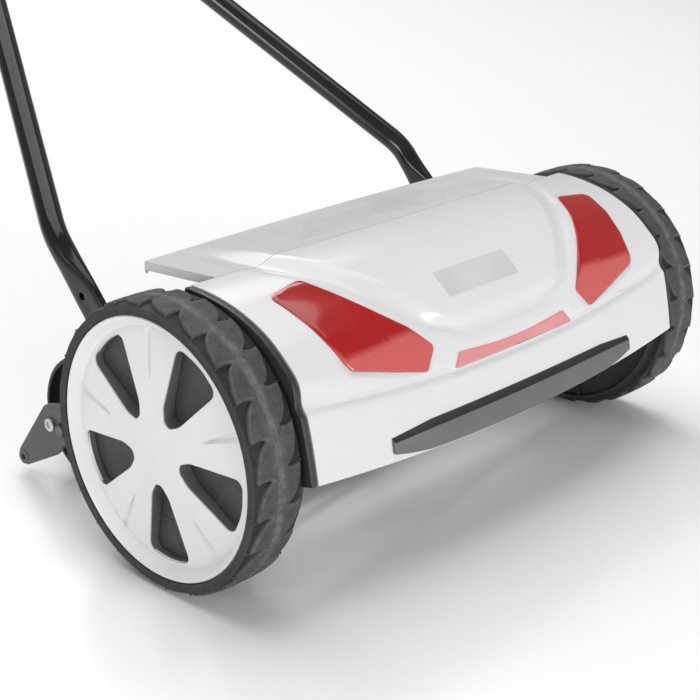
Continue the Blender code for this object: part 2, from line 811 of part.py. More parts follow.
def hub_bush(label, side, holder):
    profile = [(0.2392, 0.0092), (0.2392, BUSH_RADIUS), (0.2580, BUSH_RADIUS), (0.2580, 0.0092)]
    made = turned(f"hub_bush_{label}", flipped(profile, side), (0, AXLE_Z), 18)
    finish(made, BRONZE, holder)


def wheel(label, side):
    holder = joint(f"{label}_wheel_axis", 0, AXLE_Z, x=side * TYRE_INNER_X)
    for piece in (tyre, rim, wheel_cover, ring_gear, hub_bush):
        piece(label, side, holder)


# ---- reel ----


def blade_angle(index, x):
    return 2 * math.pi * index / BLADE_COUNT + BLADE_TWIST * x / (2 * REEL_HALF_LENGTH)


def reel_blade(index, holder):
    """A strip standing out from the shaft, wound along the reel."""
    rings = []
    for x in spread(-REEL_HALF_LENGTH, REEL_HALF_LENGTH, 19):
        angle = blade_angle(index, x)
        out = Vector((math.cos(angle), math.sin(angle)))
        across = Vector((-out.y, out.x)) * BLADE_HALF_THICKNESS
        ring = []
        for radius, turn in (
            (REEL_RADIUS - BLADE_DEPTH, -1),
            (REEL_RADIUS, -1),
            (REEL_RADIUS, 1),
            (REEL_RADIUS - BLADE_DEPTH, 1),
        ):
            point = out * radius + across * turn
            ring.append((x, REEL_Y + point.x, REEL_Z + point.y))
        rings.append(ring)
    finish(loft(f"reel_blade_{index + 1}", rings), STEEL, holder)


def reel_spider(label, x, holder):
    """A five-armed plate. Its arms end just short of the blades."""
    tip = REEL_RADIUS - BLADE_DEPTH - 0.0005
    outline = []
    for i in range(BLADE_COUNT):
        angle = blade_angle(i, x)
        half_gap = math.pi / BLADE_COUNT
        outline += [
            (0.0150, angle - half_gap),
            (0.0190, angle - 0.42),
            (tip, angle - 0.085),
            (tip, angle + 0.085),
            (0.0190, angle + 0.42),
        ]
    points = [(REEL_Y + r * math.cos(a), REEL_Z + r * math.sin(a)) for r, a in outline]
    bore = circle((REEL_Y, REEL_Z), SHAFT_RADIUS + 2 * GAP, 12)
    x_range = (x - SPIDER_HALF_THICKNESS, x + SPIDER_HALF_THICKNESS)
    finish(outline_plate(f"reel_spider_{label}", [points, bore], x_range, 1), DARK_STEEL, holder)


def pinion_bore():
    """Three ratchet ramps inside the pinion for its pawl."""
    points = []
    for i in range(18):
        ramp = (i % 6) / 5
        radius = 0.0068 + 0.0010 * ramp
        angle = 2 * math.pi * (i // 6) / 3 + ramp * (2 * math.pi / 3 - 0.12)
        points.append((REEL_Y + radius * math.cos(angle), REEL_Z + radius * math.sin(angle)))
    return points


def pinion(label, side, holder):
    teeth = tooth_points((REEL_Y, REEL_Z), PINION_TEETH, REEL_BEARING_ANGLE, False)
    outlines = [teeth, pinion_bore()]
    made = outline_plate(f"pinion_{label}", outlines, (PINION_INNER_X, PINION_OUTER_X), side)
    finish(made, DARK_STEEL, holder)


def reel(holder, right_pinion_holder):
    shaft = as_mesh(
        cylinder("reel_shaft", -SHAFT_HALF_LENGTH, SHAFT_HALF_LENGTH, (REEL_Y, REEL_Z), SHAFT_RADIUS, 12)
    )
    for label, side in SIDES:
        slot = side_box(
            f"pawl_slot_{label}",
            (0.2275, 0.2375),
            (REEL_Y - 0.0020, REEL_Y + 0.0020),
            (REEL_Z + 0.0010, REEL_Z + 0.0070),
            side,
            CUTTERS,
        )
        combine(shaft, slot, "DIFFERENCE")
        pawl = side_box(
            f"ratchet_pawl_{label}",
            (0.2280, 0.2370),
            (REEL_Y - 0.0016, REEL_Y + 0.0016),
            (REEL_Z + 0.0014, REEL_Z + 0.0062),
            side,
        )
        finish(pawl, STEEL, holder)
    finish(shaft, STEEL, holder)
    for label, x in (("left", -SPIDER_X), ("middle", 0.0), ("right", SPIDER_X)):
        reel_spider(label, x, holder)
    for index in range(BLADE_COUNT):
        reel_blade(index, holder)
    pinion("left", -1, holder)
    pinion("right", 1, right_pinion_holder)


# ---- rear roller ----


def roller_group(holder, spin):
    for label, side in SIDES:
        name = f"roller_bracket_{label}"
        holes = [
            circle(ARM_PIVOT, 0.0044, 10),
            circle(ROLLER, 0.0054, 12),
            circle(BRACKET_SCREW, 0.0034, 10),
        ]
        made = as_mesh(outline_plate(name, [BRACKET_OUTLINE, *holes], ARM_X, side))
        pad_x = ARM_X[1] + TAB_PAD_RISE
        pad = cylinder(f"{name}_pad", side * ARM_X[0], side * pad_x, BRACKET_HOLE, TAB_PAD_RADIUS, 20)
        combine(made, pad, "UNION", "MANIFOLD")
        hole = cylinder(
            f"{name}_tab_hole", side * 0.209, side * 0.217, BRACKET_HOLE, BRACKET_HOLE_RADIUS, 12, CUTTERS
        )
        combine(made, hole, "DIFFERENCE", "MANIFOLD")
        finish(made, GREY_PLASTIC, holder)
        screw = [
            (0.2070, 0),
            (0.2070, 0.0030),
            (0.2153, 0.0030),
            (0.2153, 0.0058),
            (0.2175, 0.0054),
            (0.2183, 0.0040),
            (0.2183, 0),
        ]
        made = turned(f"bracket_screw_{label}", flipped(screw, side), BRACKET_SCREW, 10, closed=False)
        finish(made, STEEL, holder)
    axle = cylinder("roller_axle", -0.2190, 0.2190, ROLLER, ROLLER_AXLE_RADIUS, 12)
    finish(axle, STEEL, holder)
    half = ROLLER_HALF_LENGTH
    web = half - ROLLER_WEB_INSET
    bore = ROLLER_AXLE_RADIUS + 0.0007
    inside = ROLLER_RADIUS - ROLLER_WALL
    end = [
        (web - 0.0030, inside),
        (web - 0.0030, bore),
        (web, bore),
        (web, inside),
        (half, inside),
        (half, ROLLER_RADIUS - 0.0015),
        (half - 0.0020, ROLLER_RADIUS),
    ]
    profile = end + [(-x, radius) for x, radius in reversed(end)]
    finish(turned("rear_roller", profile, ROLLER, 32), BLACK_PLASTIC, spin)


# ---- handle ----


def slope_point(x, distance):
    """A point of the handle's upper line, that far beyond the neck."""
    return Vector(
        (
            x,
            NECK[0] + distance * math.cos(UPPER_SLOPE),
            NECK[1] + distance * math.sin(UPPER_SLOPE),
        )
    )


def rounded(corners, radius, pieces=4):
    """A path through straight runs, with each inner corner replaced by an arc."""
    path = [corners[0]]
    for before, corner, after in zip(corners, corners[1:], corners[2:]):
        into = (corner - before).normalized()
        out = (after - corner).normalized()
        turn = into.angle(out)
        cut = radius * math.tan(turn / 2)
        middle = corner + (out - into).normalized() * radius / math.cos(turn / 2)
        start = corner - into * cut - middle
        axis = into.cross(out).normalized()
        for i in range(pieces + 1):
            share = turn * i / pieces
            spun = start * math.cos(share) + axis.cross(start) * math.sin(share)
            path.append(middle + spun)
    path.append(corners[-1])
    return path


def tube(name, path, radius):
    curve = bpy.data.curves.new(name, "CURVE")
    curve.dimensions = "3D"
    spline = curve.splines.new("POLY")
    spline.points.add(len(path) - 1)
    for point, place in zip(spline.points, path):
        point.co = (*place, 1)
    curve.bevel_depth = radius
    curve.bevel_resolution = 3
    curve.use_fill_caps = True
    made = bpy.data.objects.new(name, curve)
    MOWER.objects.link(made)
    return made


def flat_share(point):
    """How flat the handle tube is: 1 at its bolted end, 0 from the bend on."""
    start = Vector(HANDLE_END)
    along = (Vector((point.y, point.z)) - start).length
    whole = (Vector(HANDLE_BEND) - start).length
    return 1 - smooth((along / whole - 0.62) / 0.30)


def handle_tube(label, side, holder):
    """The lower handle tube: flattened where it is bolted on, then round, leaning in to the neck."""
    pivot_run = Vector((side * HANDLE_X, *HANDLE_END))
    bend = Vector((side * HANDLE_X, *HANDLE_BEND))
    neck = Vector((side * NECK_X, *NECK))
    corners = [pivot_run, bend, neck, slope_point(side * NECK_X, LOWER_TUBE_END)]
    path = rounded(corners, BEND_RADIUS)
    path[1:1] = [path[0].lerp(path[1], share) for share in (0.5, 0.62, 0.72, 0.82, 0.92)]
    rings = []
    for i, point in enumerate(path):
        ahead = path[min(i + 1, len(path) - 1)] - path[max(i - 1, 0)]
        tangent = ahead.normalized()
        across = (Vector((1, 0, 0)) - tangent * tangent.x).normalized()
        upright = tangent.cross(across)
        flat = flat_share(point) if point.y < HANDLE_BEND[0] else 0.0
        half_x = TUBE_RADIUS + (FLAT_HALF_THICKNESS - TUBE_RADIUS) * flat
        half_w = TUBE_RADIUS + (FLAT_HALF_WIDTH - TUBE_RADIUS) * flat
        power = 1 - 0.45 * flat
        ring = []
        for k in range(12):
            angle = 2 * math.pi * (k + 0.5) / 12
            c, s = math.cos(angle), math.sin(angle)
            a = math.copysign(abs(c) ** power, c) * half_x
            b = math.copysign(abs(s) ** power, s) * half_w
            ring.append(point + across * a + upright * b)
        rings.append(ring)
    made = loft(f"handle_tube_{label}", rings)
    cuts = (
        ("pivot", HANDLE_PIVOT, 0.0043, 0.190, 0.215),
        ("spare", (0.1520, 0.1745), 0.0030, 0.190, 0.215),
        ("fold", fold_centre(), 0.0033, 0.080, 0.120),
    )
    for key, centre, radius, inner, outer in cuts:
        hole = cylinder(
            f"handle_{key}_hole_{label}", side * inner, side * outer, centre, radius, 12, CUTTERS
        )
        combine(made, hole, "DIFFERENCE")
    finish(made, GLOSS_BLACK, holder)


def fold_centre():
    point = slope_point(0, FOLD_DISTANCE)
    return (point.y, point.z)


def handle_loop(holder):
    """The upper handle: two legs beside the lower tubes, flaring out to a wide grip."""
    right = [
        slope_point(LOOP_X, LOOP_START),
        slope_point(LOOP_X, LOOP_FLARE[0]),
        slope_point(LOOP_HALF_WIDTH, LOOP_FLARE[1]),
        slope_point(LOOP_HALF_WIDTH, LOOP_END),
    ]
    left = [Vector((-point.x, point.y, point.z)) for point in reversed(right)]
    path = rounded(right + left, LOOP_CORNER)
    made = as_mesh(tube("handle_loop", path, TUBE_RADIUS))
    for label, side in SIDES:
        hole = cylinder(
            f"loop_hole_{label}", side * 0.110, side * 0.134, fold_centre(), 0.0033, 12, CUTTERS
        )
        combine(made, hole, "DIFFERENCE")
    finish(made, GLOSS_BLACK, holder)
    bar = slope_point(0, LOOP_END)
    half = FOAM_HALF_LENGTH
    profile = [
        (-half, TUBE_RADIUS + 0.0006),
        (-half, FOAM_RADIUS - 0.0020),
        (-half + 0.0030, FOAM_RADIUS),
        (half - 0.0030, FOAM_RADIUS),
        (half, FOAM_RADIUS - 0.0020),
        (half, TUBE_RADIUS + 0.0006),
    ]
    finish(turned("foam_grip", profile, (bar.y, bar.z), 16), FOAM, holder)


def knob_outline():
    """A five-lobed hand knob."""
    points = []
    for i in range(20):
        angle = 2 * math.pi * i / 20
        radius = 0.0155 + 0.0025 * math.cos(5 * angle)
        y, z = fold_centre()
        points.append((y + radius * math.cos(angle), z + radius * math.sin(angle)))
    return points


def fold_fastening(label, side, bolt_holder, knob_holder):
    head = (0.0870, 0.0908)
    bolt = [
        (head[0], 0),
        (head[0], 0.0045),
        (head[0] + 0.0012, 0.0060),
        (head[1], 0.0060),
        (head[1], 0.0030),
        (0.1462, 0.0030),
        (0.1462, 0),
    ]
    made = turned(f"fold_bolt_{label}", flipped(bolt, side), fold_centre(), 10, closed=False)
    finish(made, STEEL, bolt_holder)
    outlines = [knob_outline(), circle(fold_centre(), 0.0033, 12)]
    knob = outline_plate(f"fold_knob_{label}", outlines, KNOB_X, side)
    finish(knob, BLACK_PLASTIC, knob_holder)


def main():
    for label, side in SIDES:
        side_plate(label, side)
        chassis_hardware(label, side)
        wheel(label, side)
    hood()
    lenses()
    bumper()
    deflector()
    rod_and_knife()
    reel_axis = joint("reel_axis", REEL_Y, REEL_Z)
    pinion_axis = joint("right_pinion_axis", REEL_Y, REEL_Z, x=PINION_INNER_X)
    reel(reel_axis, pinion_axis)
    arm_axis = joint("roller_bracket_axis", *ARM_PIVOT)
    roller_axis = joint("roller_axis", *ROLLER, parent=arm_axis)
    roller_group(arm_axis, roller_axis)
    handle_axis = joint("handle_axis", *HANDLE_PIVOT)
    fold_axis = joint("handle_fold_axis", *fold_centre(), parent=handle_axis)
    handle_loop(fold_axis)
    for label, side in SIDES:
        handle_tube(label, side, handle_axis)
        knob_axis = joint(f"{label}_knob_axis", *fold_centre(), parent=handle_axis, x=side * KNOB_X[0])
        fold_fastening(label, side, handle_axis, knob_axis)


main()
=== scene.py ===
"""The looks of the reel mower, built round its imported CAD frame.

Lengths along Y are measured from the wheel axle, as in the CAD source, and every piece is moved by the
axle's place in the frame. The left wheel is at -X and the front towards -Y.
"""

import json
import math

import bmesh
import bpy
from mathutils import Matrix, Vector
from mathutils.geometry import delaunay_2d_cdt

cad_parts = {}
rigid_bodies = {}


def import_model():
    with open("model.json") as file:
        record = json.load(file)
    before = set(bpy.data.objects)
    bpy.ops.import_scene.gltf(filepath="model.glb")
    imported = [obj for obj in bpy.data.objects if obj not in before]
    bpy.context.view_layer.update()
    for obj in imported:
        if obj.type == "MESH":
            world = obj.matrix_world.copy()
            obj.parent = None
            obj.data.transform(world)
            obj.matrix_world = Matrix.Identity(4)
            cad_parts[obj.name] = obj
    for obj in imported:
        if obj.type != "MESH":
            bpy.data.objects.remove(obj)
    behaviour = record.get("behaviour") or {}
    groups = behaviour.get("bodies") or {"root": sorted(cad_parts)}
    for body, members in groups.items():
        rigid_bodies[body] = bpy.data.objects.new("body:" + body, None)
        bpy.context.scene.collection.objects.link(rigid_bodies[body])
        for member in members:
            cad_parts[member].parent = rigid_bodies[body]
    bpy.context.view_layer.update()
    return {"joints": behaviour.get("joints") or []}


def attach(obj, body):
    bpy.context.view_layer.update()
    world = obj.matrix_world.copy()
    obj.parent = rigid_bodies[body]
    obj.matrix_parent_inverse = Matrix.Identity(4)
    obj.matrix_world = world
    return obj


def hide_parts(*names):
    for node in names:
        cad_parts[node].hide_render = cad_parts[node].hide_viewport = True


for old in list(bpy.data.objects):
    bpy.data.objects.remove(old, do_unlink=True)

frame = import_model()
JOINTS = {joint["name"]: Vector(joint["pos_m"]) for joint in frame["joints"] if "pos_m" in joint}
AXLE = Vector((0, *JOINTS["left_wheel_spin"].yz))
SIDES = (("left", -1), ("right", 1))

# Wheels
TYRE_INNER, TYRE_OUTER = 0.2232, 0.2670
TYRE_RADIUS = 0.1100
TREAD_LOBES = 24
COVER_SPOKES = 5
OPENING_PHASE = math.radians(49.5)
OPENING_HALF_ANGLE = math.radians(15.5)
OPENING_RADII = (0.0265, 0.0870)
GROOVE_RADII = (0.0500, 0.0915)
COVER_RADIUS = 0.0991
WHEEL = (0, AXLE.z)

# Gear train and reel
GEAR_MODULE = 0.002
RING_TEETH, PINION_TEETH = 48, 12
GEAR_CENTRES = GEAR_MODULE * (RING_TEETH - PINION_TEETH) / 2
REEL_ANGLE = math.radians(-56.3)
REEL = (GEAR_CENTRES * math.cos(REEL_ANGLE), AXLE.z + GEAR_CENTRES * math.sin(REEL_ANGLE))
BLADES = 5
BLADE_HALF_LENGTH = 0.1890
BLADE_TWIST = math.radians(60)

# Fastenings and other places on the chassis, as (y, z)
HANDLE_PIVOT = (0.0850, 0.1020)
ARM_PIVOT = (0.0700, 0.0550)
KNIFE_BOLT = (0.0470, 0.0450)
TIE_ROD = (-0.0700, 0.1500)
ROLLER = (0.1800, 0.0550)
BRACKET_SCREW = (0.1940, 0.0560)
BRACKET_TAB = (0.2375, 0.0130)

# Hood, the same surface as in the CAD
HOOD_HALF_WIDTH = 0.2160
HOOD_WALL = 0.0025
SKIRT = ((-0.1160, 0.1040), (-0.1115, 0.1325), (-0.1050, 0.1550))
CROWN = ((-0.1050, 0.1550), (-0.0960, 0.1860), (-0.0620, 0.2195), (0.0060, 0.2195))
HOOD_BOW = 0.0100
HOOD_BOW_TOP_Z = 0.2150
HOOD_LOWER_DIP = 0.0080
HOOD_TOP_CROWN = 0.0050
HOOD_SEAM_BOW = 0.0140
HOOD_SEAM_SHIFT = 0.0040
DEFLECTOR_HALF_WIDTH = 0.1950
DEFLECTOR_REAR = (0.0870, 0.2150)
SEAM_GAP = 0.0006
SIDE_DISC_RADIUS = 0.1013

# The hood's raised panel, shoulder and lenses, as (x, t) or (x, t, corner radius), t as in hood_base
DOME_RISE = 0.0042
DOME_EDGE = 0.0140
DOME_STOPS = ((1.19, 0.066), (1.30, 0.084), (1.45, 0.101), (1.62, 0.119), (1.80, 0.138), (2.0, 0.1566))
DOME_LOW = 1.185
CROWN_LENGTH = 0.130
SHOULDER_SIDE, SHOULDER_MIDDLE = 1.06, 0.80
LENS_CORNERS = (
    (0.1000, 0.958, 0.0040), (0.1300, 1.055, 0.0400), (0.1680, 1.158, 0.0060), (0.1720, 1.215, 0.0060),
    (0.1780, 1.395, 0.0600), (0.1840, 1.570, 0.0600), (0.1885, 1.745, 0.0060), (0.1535, 1.793, 0.0060),
    (0.1405, 1.630, 0.0600), (0.1255, 1.485, 0.0600), (0.1040, 1.300, 0.0600), (0.0868, 1.138, 0.0060),
)
LENS_RIDGE = ((0.1725, 1.235), (0.1013, 1.274))
STRIP_CORNERS = (
    (-0.0715, 0.845, 0.0025), (0.0, 0.845, 0.5), (0.0715, 0.845, 0.0025),
    (0.0640, 1.035, 0.0030), (0.0, 0.985, 0.3), (-0.0640, 1.035, 0.0030),
)
LENS_MARGIN = 0.006

# Handle
HANDLE_X = 0.2030
HANDLE_END = (0.0757, 0.0916)
HANDLE_BEND = (0.1880, 0.2170)
NECK_X = 0.1012
NECK = (0.4030, 0.3812)
UPPER_SLOPE = math.radians(48)
TUBE_RADIUS = 0.0100
FLAT_SIZE = (0.0040, 0.0145)
BEND_RADIUS = 0.060
FOLD_BORE = 0.0033
FOLD_CENTRE = (NECK[0] + 0.300 * math.cos(UPPER_SLOPE), NECK[1] + 0.300 * math.sin(UPPER_SLOPE))


# ---- materials ----


class Nodes:
    """A material's node tree with short calls to add and link nodes."""

    def __init__(self, name, colour, roughness, metallic=0.0):
        self.material = bpy.data.materials.new(name)
        self.material.use_nodes = True
        self.tree = self.material.node_tree
        self.shader = self.tree.nodes["Principled BSDF"]
        self.set(self.shader, "Base Color", (*colour, 1.0))
        self.set(self.shader, "Roughness", roughness)
        self.set(self.shader, "Metallic", metallic)
        self.material.diffuse_color = (*colour, 1.0)
        self.place = self.add("ShaderNodeTexCoord").outputs["Object"]
        self.height = None

    def add(self, kind, **settings):
        node = self.tree.nodes.new(kind)
        for key, value in settings.items():
            setattr(node, key, value)
        return node

    def set(self, node, socket, value):
        node.inputs[socket].default_value = value

    def link(self, output, node, socket):
        self.tree.links.new(output, node.inputs[socket])

    def noise(self, scale, detail=3.0, rough=0.55, stretch=None):
        node = self.add("ShaderNodeTexNoise")
        self.set(node, "Scale", scale)
        self.set(node, "Detail", detail)
        self.set(node, "Roughness", rough)
        place = self.place
        if stretch:
            mapping = self.add("ShaderNodeMapping")
            self.set(mapping, "Scale", stretch)
            self.link(place, mapping, "Vector")
            place = mapping.outputs["Vector"]
        self.link(place, node, "Vector")
        return node.outputs["Fac"]

    def ramp(self, fac, low, high, from_low=0.3, from_high=0.7):
        """A number that goes from low to high as fac goes between its two limits."""
        node = self.add("ShaderNodeMapRange", interpolation_type="SMOOTHSTEP")
        for socket, value in (
            ("From Min", from_low), ("From Max", from_high), ("To Min", low), ("To Max", high),
        ):
            self.set(node, socket, value)
        self.link(fac, node, "Value")
        return node.outputs["Result"]

    def feed(self, socket, value):
        """Links a node's output to a socket, or sets the socket to a number or a colour."""
        if isinstance(value, bpy.types.NodeSocket):
            self.tree.links.new(value, socket)
        else:
            socket.default_value = (*value, 1.0) if isinstance(value, tuple) else value

    def mix(self, fac, first, second):
        """A colour between two, each a colour or a node's output."""
        node = self.add("ShaderNodeMix", data_type="RGBA")
        for index, value in ((0, fac), (6, first), (7, second)):
            self.feed(node.inputs[index], value)
        return node.outputs[2]

    def math(self, operation, first, second):
        node = self.add("ShaderNodeMath", operation=operation)
        self.feed(node.inputs[0], first)
        self.feed(node.inputs[1], second)
        return node.outputs[0]

    def bump(self, height, strength, distance):
        node = self.add("ShaderNodeBump")
        self.set(node, "Strength", strength)
        self.set(node, "Distance", distance)
        self.link(height, node, "Height")
        if self.height:
            self.link(self.height, node, "Normal")
        self.height = node.outputs["Normal"]
        self.link(self.height, self.shader, "Normal")

    def colour(self, output):
        self.link(output, self.shader, "Base Color")

    def roughness(self, output):
        self.link(output, self.shader, "Roughness")

    def coat(self, weight, roughness):
        self.set(self.shader, "Coat Weight", weight)
        self.set(self.shader, "Coat Roughness", roughness)


def shade(colour, factor):
    return tuple(min(1.0, c * factor) for c in colour)


def moulded(name, colour, roughness, dust=0.0, grain=900, depth=0.00006, variation=0.06, coat=0.0):
    """Moulded plastic: a fine grain, slight flow marks in the gloss, and a little dust if asked."""
    n = Nodes(name, colour, roughness)
    flow = n.noise(14, 4.0)
    tone = n.mix(n.ramp(flow, 0, 1), shade(colour, 1 - variation), shade(colour, 1 + variation))
    if dust:
        specks = n.ramp(n.noise(190, 6.0, 0.7), 0, dust, 0.52, 0.78)
        patches = n.ramp(n.noise(22, 3.0), 0.2, 1.0, 0.4, 0.7)
        tone = n.mix(n.math("MULTIPLY", specks, patches), tone, (0.42, 0.40, 0.37))
    n.colour(tone)
    n.roughness(n.ramp(n.noise(60, 5.0), roughness * 0.88, min(1.0, roughness * 1.14)))
    n.bump(n.noise(grain, 2.0, 0.5), 0.35, depth)
    if coat:
        n.coat(coat, 0.08)
    return n.material


def painted_shell(name):
    """Glossy white mouldings of the hood, with a faint orange peel."""
    n = Nodes(name, (0.620, 0.622, 0.630), 0.22)
    n.colour(n.mix(n.ramp(n.noise(7, 3.0), 0, 1), (0.611, 0.613, 0.621), (0.629, 0.631, 0.639)))
    n.roughness(n.ramp(n.noise(35, 4.0), 0.20, 0.27))
    n.bump(n.noise(320, 2.0, 0.4), 0.10, 0.00002)
    n.set(n.shader, "Specular IOR Level", 0.38)
    n.coat(0.18, 0.10)
    return n.material


def rubber(name):
    """Tyre rubber: pores, dust on its high spots and scuff marks along the tread, with the pocket rims lit
    as painted highlight and the pockets and shoulders darkened as painted shade.
    """
    n = Nodes(name, (0.048, 0.046, 0.045), 0.8)
    fine = n.ramp(n.noise(420, 6.0, 0.75), 0, 1, 0.40, 0.70)
    broad = n.ramp(n.noise(18, 4.0, 0.6), 0.35, 1.0, 0.35, 0.65)
    # 'wear' here holds dust on the high spots, painted highlight on the pocket rims and painted shade low in
    # the pockets
    height = n.add("ShaderNodeAttribute", attribute_name="wear").outputs["Fac"]
    tone = n.mix(n.math("MULTIPLY", fine, broad), (0.034, 0.033, 0.033), (0.060, 0.058, 0.057))
    # painted shade: nearly black in the pockets, a little darker on the shoulders
    tone = n.mix(n.ramp(height, 0, 1, 0.0, 0.35), (0.014, 0.014, 0.014), tone)
    dust = n.ramp(n.noise(150, 6.0, 0.7), 0.30, 1.0, 0.36, 0.66)
    # dust on the high spots, and painted highlight along the pocket rims
    dust_and_painted_highlight = n.math("MULTIPLY", n.math("POWER", height, 1.6), dust)
    scuffs_and_painted_highlight = n.ramp(n.noise(900, 6.0, 0.8), 0, 0.8, 0.56, 0.72)
    specks = n.math("MULTIPLY", n.ramp(height, 0, 1, 0.75, 1.0), scuffs_and_painted_highlight)
    n.colour(n.mix(specks, n.mix(dust_and_painted_highlight, tone, (0.125, 0.121, 0.119)), (0.42, 0.41, 0.40)))
    n.roughness(n.ramp(n.noise(80, 4.0), 0.58, 0.80))
    n.bump(n.noise(900, 4.0, 0.6), 0.4, 0.00010)
    n.set(n.shader, "Specular IOR Level", 0.35)
    return n.material


def steel(name, colour, roughness, brushed=None, stain=0.0):
    """Bare or plated metal, with brushing along the given direction and faint blotches."""
    n = Nodes(name, colour, roughness, 1.0)
    cloud = n.ramp(n.noise(45, 5.0), 0, 1)
    tone = n.mix(cloud, shade(colour, 0.84), shade(colour, 1.10))
    if stain:
        tone = n.mix(n.ramp(n.noise(120, 6.0, 0.7), 0, stain, 0.5, 0.75), tone, (0.16, 0.12, 0.09))
    n.colour(tone)
    lines = n.noise(300, 3.0, 0.6, stretch=brushed) if brushed else n.noise(500, 3.0)
    n.roughness(n.ramp(lines, roughness * 0.8, min(1.0, roughness * 1.3)))
    n.bump(lines, 0.22, 0.00004)
    return n.material


def lacquer(name, colour, roughness):
    """Gloss black coating on tube: orange peel and fine scratches."""
    n = Nodes(name, colour, roughness)
    n.colour(n.mix(n.ramp(n.noise(30, 4.0), 0, 1), shade(colour, 0.8), shade(colour, 1.5)))
    scratches = n.noise(160, 7.0, 0.8, stretch=(6, 1, 1))
    n.roughness(n.ramp(scratches, roughness, roughness + 0.14, 0.55, 0.75))
    n.bump(n.noise(420, 2.0, 0.4), 0.14, 0.00006)
    n.set(n.shader, "Specular IOR Level", 0.35)
    n.coat(0.25, 0.05)
    return n.material


def reflector(name, colour, deep, pale=None, roughness=0.10):
    """A tinted lens with a clear coat over a faintly ribbed back, and, if asked, a paler colour below its
    fold as a painted reflection.
    """
    n = Nodes(name, colour, roughness)
    tone = n.mix(n.ramp(n.noise(9, 2.0), 0, 1), deep, colour)
    if pale:
        # paler colour below the fold: painted reflection
        tone = n.mix(n.add("ShaderNodeAttribute", attribute_name="painted_reflection").outputs["Fac"], tone, pale)
    n.colour(tone)
    n.roughness(n.ramp(n.noise(50, 5.0), roughness * 0.8, roughness * 1.5))
    n.bump(n.noise(240, 2.0, 0.3), 0.08, 0.00004)
    n.coat(0.6, 0.04)
    n.set(n.shader, "Specular IOR Level", 0.3)
    return n.material


def foam(name):
    """Closed-cell foam: fine cells with a soft sheen."""
    n = Nodes(name, (0.030, 0.030, 0.031), 0.95)
    cells = n.add("ShaderNodeTexVoronoi")
    n.set(cells, "Scale", 900)
    n.link(n.place, cells, "Vector")
    n.colour(n.mix(n.ramp(n.noise(70, 4.0), 0, 1), (0.022, 0.022, 0.023), (0.05, 0.05, 0.051)))
    n.bump(cells.outputs["Distance"], 0.7, 0.0003)
    n.bump(n.noise(160, 4.0), 0.4, 0.0004)
    n.set(n.shader, "Sheen Weight", 0.25)
    return n.material


def silver_print(name):
    """Pale silver metallic lacquer."""
    n = Nodes(name, (0.60, 0.60, 0.62), 0.34, 0.15)
    n.colour(n.mix(n.ramp(n.noise(16, 4.0), 0, 1), (0.54, 0.54, 0.56), (0.60, 0.60, 0.62)))
    n.roughness(n.ramp(n.noise(90, 3.0), 0.28, 0.38))
    return n.material


# Each look: its recipe, then what the recipe takes after the name.
LOOKS = {
    "white_shell": (painted_shell,),
    "wheel_cover": (moulded, (0.75, 0.75, 0.745), 0.42, 0.0, 700, 0.00005, 0.03, 0.15),
    "black_plastic": (moulded, (0.020, 0.020, 0.021), 0.42, 0.10),
    "disc_plastic": (moulded, (0.040, 0.040, 0.041), 0.50, 0.16),
    "grey_plastic": (moulded, (0.088, 0.083, 0.085), 0.48, 0.10),
    # dark grey for the cover openings' walls: painted shade on the pale cover plastic
    "wall_plastic": (moulded, (0.125, 0.123, 0.122), 0.50),
    "bumper_plastic": (moulded, (0.108, 0.108, 0.113), 0.46, 0.0, 1100, 0.00008),
    # a darker copy of the bumper plastic: painted shade on the bar's upward faces
    "bumper_band": (moulded, (0.010, 0.010, 0.011), 0.52, 0.0, 1100, 0.00008),
    "tyre_rubber": (rubber,),
    # the third red is the paler lower facet, a painted reflection
    "red_lens": (reflector, (0.35, 0.004, 0.003), (0.27, 0.003, 0.002), (0.50, 0.085, 0.080)),
    "centre_lens": (reflector, (0.64, 0.27, 0.27), (0.59, 0.22, 0.22), None, 0.16),
    "handle_tube": (lacquer, (0.008, 0.008, 0.009), 0.13),
    "steel": (steel, (0.60, 0.60, 0.61), 0.30),
    "blade_steel": (steel, (0.52, 0.52, 0.53), 0.28, (2, 30, 30), 0.25),
    "dark_steel": (steel, (0.17, 0.17, 0.175), 0.42, None, 0.2),
    "bronze": (steel, (0.50, 0.32, 0.15), 0.38),
    "foam": (foam,),
    "silver": (silver_print,),
}
MATERIALS = {name: recipe(name, *rest) for name, (recipe, *rest) in LOOKS.items()}


# ---- mesh helpers ----


def wear(obj, body, slot, *nodes, look=None):
    """Gives a finished piece the material of its look, or else of its slot, puts it on its body and hides
    the CAD nodes that it stands for.
    """
    if not obj.data.materials:
        obj.data.materials.append(MATERIALS[look or slot])
    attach(obj, body)
    if nodes:
        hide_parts(*nodes)


def new_object(name, bm, sharp=30, placed=True, recalculated=True):
    """An object from a mesh made round the wheel axle's Y, moved into the frame and shaded smooth."""
    if recalculated:
        bmesh.ops.recalc_face_normals(bm, faces=bm.faces)
    mesh = bpy.data.meshes.new(name)
    bm.to_mesh(mesh)
    bm.free()
    mesh.shade_smooth()
    mesh.set_sharp_from_angle(angle=math.radians(sharp))
    made = bpy.data.objects.new(name, mesh)
    bpy.context.scene.collection.objects.link(made)
    if placed:
        mesh.transform(Matrix.Translation((0, AXLE.y, 0)))
    return made


def point_values(obj, name, values):
    """A number on each vertex, for the material to read."""
    obj.data.attributes.new(name, "FLOAT", "POINT").data.foreach_set("value", values)


def thicken(obj, thickness, even=True):
    """Gives an open surface a wall behind it."""
    wall = obj.modifiers.new("wall", "SOLIDIFY")
    wall.thickness = thickness
    wall.offset = -1
    wall.use_even_offset = even


